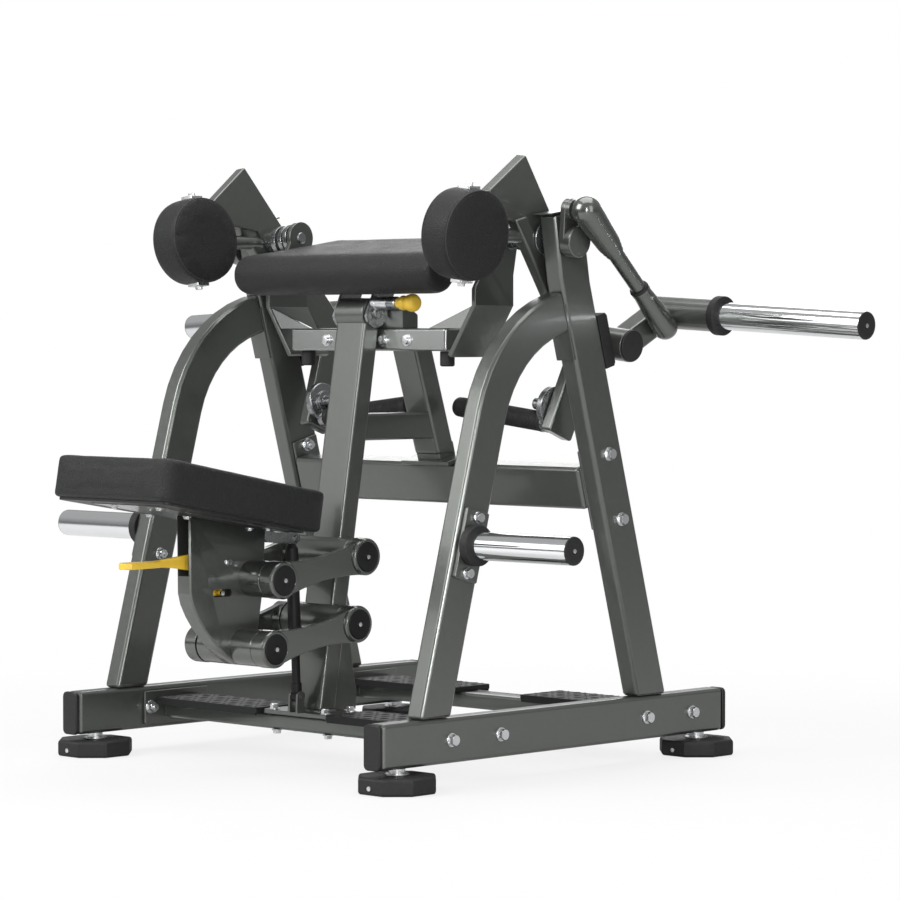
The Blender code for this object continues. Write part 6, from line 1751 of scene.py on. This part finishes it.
def points_of(mesh):
    points = np.empty(len(mesh.vertices) * 3)
    mesh.vertices.foreach_get("co", points)
    return points.reshape(-1, 3)


def smoothed(pad, name, iterations):
    relax = pad.modifiers.new(name, "SMOOTH")
    relax.factor = 0.5
    relax.iterations = iterations


def blown_up(pad, swell, keep):
    """Cloth under pressure for 20 frames; each point then moves no further than the swell,
    times the share that keep gives."""
    rest = points_of(pad.data)
    cloth = pad.modifiers.new("filling", "CLOTH")
    cloth.settings.use_pressure = True
    cloth.settings.uniform_pressure_force = 4
    cloth.settings.effector_weights.gravity = 0
    cloth.settings.quality = 4
    cloth.settings.tension_stiffness = 20
    cloth.settings.compression_stiffness = 20
    scene = bpy.context.scene
    for frame_number in range(1, FILL_FRAMES + 1):
        scene.frame_set(frame_number)
    baked(pad)
    scene.frame_set(1)
    move = points_of(pad.data) - rest
    far = np.linalg.norm(move, axis=1)
    share = np.minimum(1, swell / np.maximum(far, 1e-9)) * keep(rest)
    pad.data.vertices.foreach_set("co", (rest + move * share[:, None]).ravel())
    pad.data.update()


def everywhere(points):
    return np.ones(len(points))


def filled(pad, swell, voxel, keep=everywhere):
    """Fills a pad by simulation: its skin is remeshed evenly, blown up and smoothed."""
    remesh = pad.modifiers.new("even_skin", "REMESH")
    remesh.mode = "VOXEL"
    remesh.voxel_size = voxel
    smoothed(pad, "relaxed", 6)
    baked(pad)
    blown_up(pad, swell, keep)
    smoothed(pad, "settled", 3)
    fine = pad.modifiers.new("fine", "SUBSURF")
    fine.levels = fine.render_levels = 1
    baked(pad)
    pad.data.shade_smooth()


def roll_of(side, half, edge):
    """P(i, j) = (x_i, side_j less inset_i along its outward normal), for x from one end of
    the pad to the other; the inset follows a quarter circle near both ends."""
    outline, normal = outline_and_normals(side)
    t = np.linspace(0, math.pi / 2, 7)
    ends = edge * (1 - np.sin(t))
    run = edge * (1 - np.cos(t))
    middle = np.linspace(-half + edge, half - edge, 25)[1:-1]
    x = np.concatenate([-half + run, middle, half - run[::-1]])
    inset = np.concatenate([ends, np.zeros(len(middle)), ends[::-1]])
    flat = outline[None] - inset[:, None, None] * normal[None]
    rows, columns = flat.shape[:2]
    points = np.concatenate([np.broadcast_to(x[:, None, None], (rows, columns, 1)), flat], -1)
    points = points.reshape(-1, 3)
    return points, facing_out(points, tube_faces(rows, columns))


class MACHINE_OT_pads(bpy.types.Operator):
    """Upholster the seat, the arm pad and the two round pads"""

    bl_idname = "machine.pads"
    bl_label = "Pads"

    def execute(self, context):
        self.seat()
        self.arm_rest()
        self.round_pads()
        return {"FINISHED"}

    def seat(self):
        """A slab with a wide front and a narrow tail, whose underside keeps its place."""
        _, sizes, _ = settings()
        deep, crown, tail, inset = 0.068, 0.0075, 0.426, 0.0005
        front_half, tail_half = 0.160 - inset, 0.112 - inset
        corners = [
            (-front_half, inset), (front_half, inset), (tail_half, tail - inset),
            (-tail_half, tail - inset),
        ]
        outline = corners_rounded(np.array(corners), np.array([0.034, 0.034, 0.020, 0.020]), 8)
        form = slab(outline, -deep + 0.0005, crown - inset, 0.006, "XY", steps=5)
        form = placed(placed(form, SEAT), SHOP)
        pad = piece("seat_pad", form, "leather", "seat", ["seat_cushion"])
        back = np.array((SHOP @ SEAT).inverted())

        def keep(points):
            depth = points @ back[2, :3] + back[2, 3]
            return np.clip((depth + deep - 0.004) / 0.012, 0, 1)

        filled(pad, sizes.swell * 0.3, 0.0042, keep)

    def arm_rest(self):
        """A pad with a round front and a flat sloping top, cut back at its rear corners."""
        _, sizes, _ = settings()
        tilt, inset, rear = math.radians(9.2), 0.0015, 0.532
        rise = np.array([math.cos(tilt), math.sin(tilt)])
        up = np.array([-rise[1], rise[0]])
        centre, radius = np.array([0.3195, 0.9005]), 0.0385 - inset
        half, thick = 0.2645 - inset, 0.060 - 2 * inset
        top_start = centre + radius * up
        top_end = top_start + (rear - inset - top_start[0]) / rise[0] * rise
        low_end = top_end - thick * up
        lap = math.asin((thick - radius) / radius)
        turn = np.linspace(math.pi / 2 + tilt, 2 * math.pi + tilt - lap, 29)
        side = np.vstack([arc(centre, radius, turn), low_end[None], top_end[None]])
        points, faces = roll_of(corners_rounded(side, 0.010, 6, sharper=40), half, 0.011)
        cut_depth, cut_width = 0.0375, 0.050
        cut = np.clip((points[:, 1] - (rear - inset - cut_depth)) / cut_depth, 0, 1)
        limit = half - cut * cut_width
        points[:, 0] = np.clip(points[:, 0], -limit, limit)
        form = placed((points, faces), SHOP)
        pad = piece("arm_rest_pad", form, "leather", "elbow_pad", ["arm_pad"])
        filled(pad, sizes.swell * 0.4, 0.005)

    def round_pads(self):
        """A short drum round the arm's stem, with a seam near either end."""
        _, sizes, _ = settings()
        radius, half, edge = 0.0822, 0.0342, 0.009
        low, high = PAD_MID_X - half, PAD_MID_X + half
        a = np.linspace(0, math.pi / 2, 7)
        run, r = edge * (1 - np.cos(a)), radius - edge * (1 - np.sin(a))
        profile = [
            (low, 0), (low, radius - 0.010), *zip(low + run, r), *zip((high - run)[::-1], r[::-1]),
            (high, 0),
        ]
        drum = placed(turned(profile, PAD_AT, ACROSS), ARM)
        seams = joined(*(
            turned_ring(circle((x, radius - 0.0035), 0.0013, 10), PAD_AT, ACROSS)
            for x in (high - 0.0045, low + 0.0045)
        ))
        for side, name in SIDES.items():
            form, body = sided(drum, side), f"arm_{name}"
            pad = piece(f"elbow_roll_{name}", form, "leather", body, [f"round_pad_{name}"])
            filled(pad, sizes.swell * 0.6, 0.0045)
            piece(f"roll_seams_{name}", sided(placed(seams, ARM), side), "piping", body)


# Add-on


class MACHINE_PT_panel(bpy.types.Panel):
    """Lists the pieces in the order in which they are made"""

    bl_label = "Biceps machine"
    bl_space_type = "VIEW_3D"
    bl_region_type = "UI"
    bl_category = "Machine"

    def draw(self, context):
        layout = self.layout
        for group in settings():
            area = layout.box()
            for name in group.bl_rna.properties.keys():
                if name not in ("rna_type", "name"):
                    area.prop(group, name)
        for name in ORDER:
            layout.operator(f"machine.{name}")


ORDER = (
    "stage", "frame_skins", "feet", "leg_trim", "centre", "yoke", "arms", "elbows", "horns",
    "grips", "links", "seat_parts", "pad_lock", "treads", "bolts", "pads",
)
CLASSES = (
    MachineColours,
    MachineSizes,
    MachineStage,
    MACHINE_OT_stage,
    MACHINE_OT_frame_skins,
    MACHINE_OT_feet,
    MACHINE_OT_leg_trim,
    MACHINE_OT_centre,
    MACHINE_OT_yoke,
    MACHINE_OT_arms,
    MACHINE_OT_elbows,
    MACHINE_OT_horns,
    MACHINE_OT_grips,
    MACHINE_OT_links,
    MACHINE_OT_seat_parts,
    MACHINE_OT_pad_lock,
    MACHINE_OT_treads,
    MACHINE_OT_bolts,
    MACHINE_OT_pads,
    MACHINE_PT_panel,
)


def register():
    for cls in CLASSES:
        bpy.utils.register_class(cls)
    bpy.types.Scene.machine_colours = PointerProperty(type=MachineColours)
    bpy.types.Scene.machine_sizes = PointerProperty(type=MachineSizes)
    bpy.types.Scene.machine_stage = PointerProperty(type=MachineStage)


def unregister():
    del bpy.types.Scene.machine_stage, bpy.types.Scene.machine_sizes
    del bpy.types.Scene.machine_colours
    for cls in reversed(CLASSES):
        bpy.utils.unregister_class(cls)


def main():
    register()
    make_finishes()
    for name in ORDER:
        getattr(bpy.ops.machine, name)()


if __name__ == "__main__":
    main()
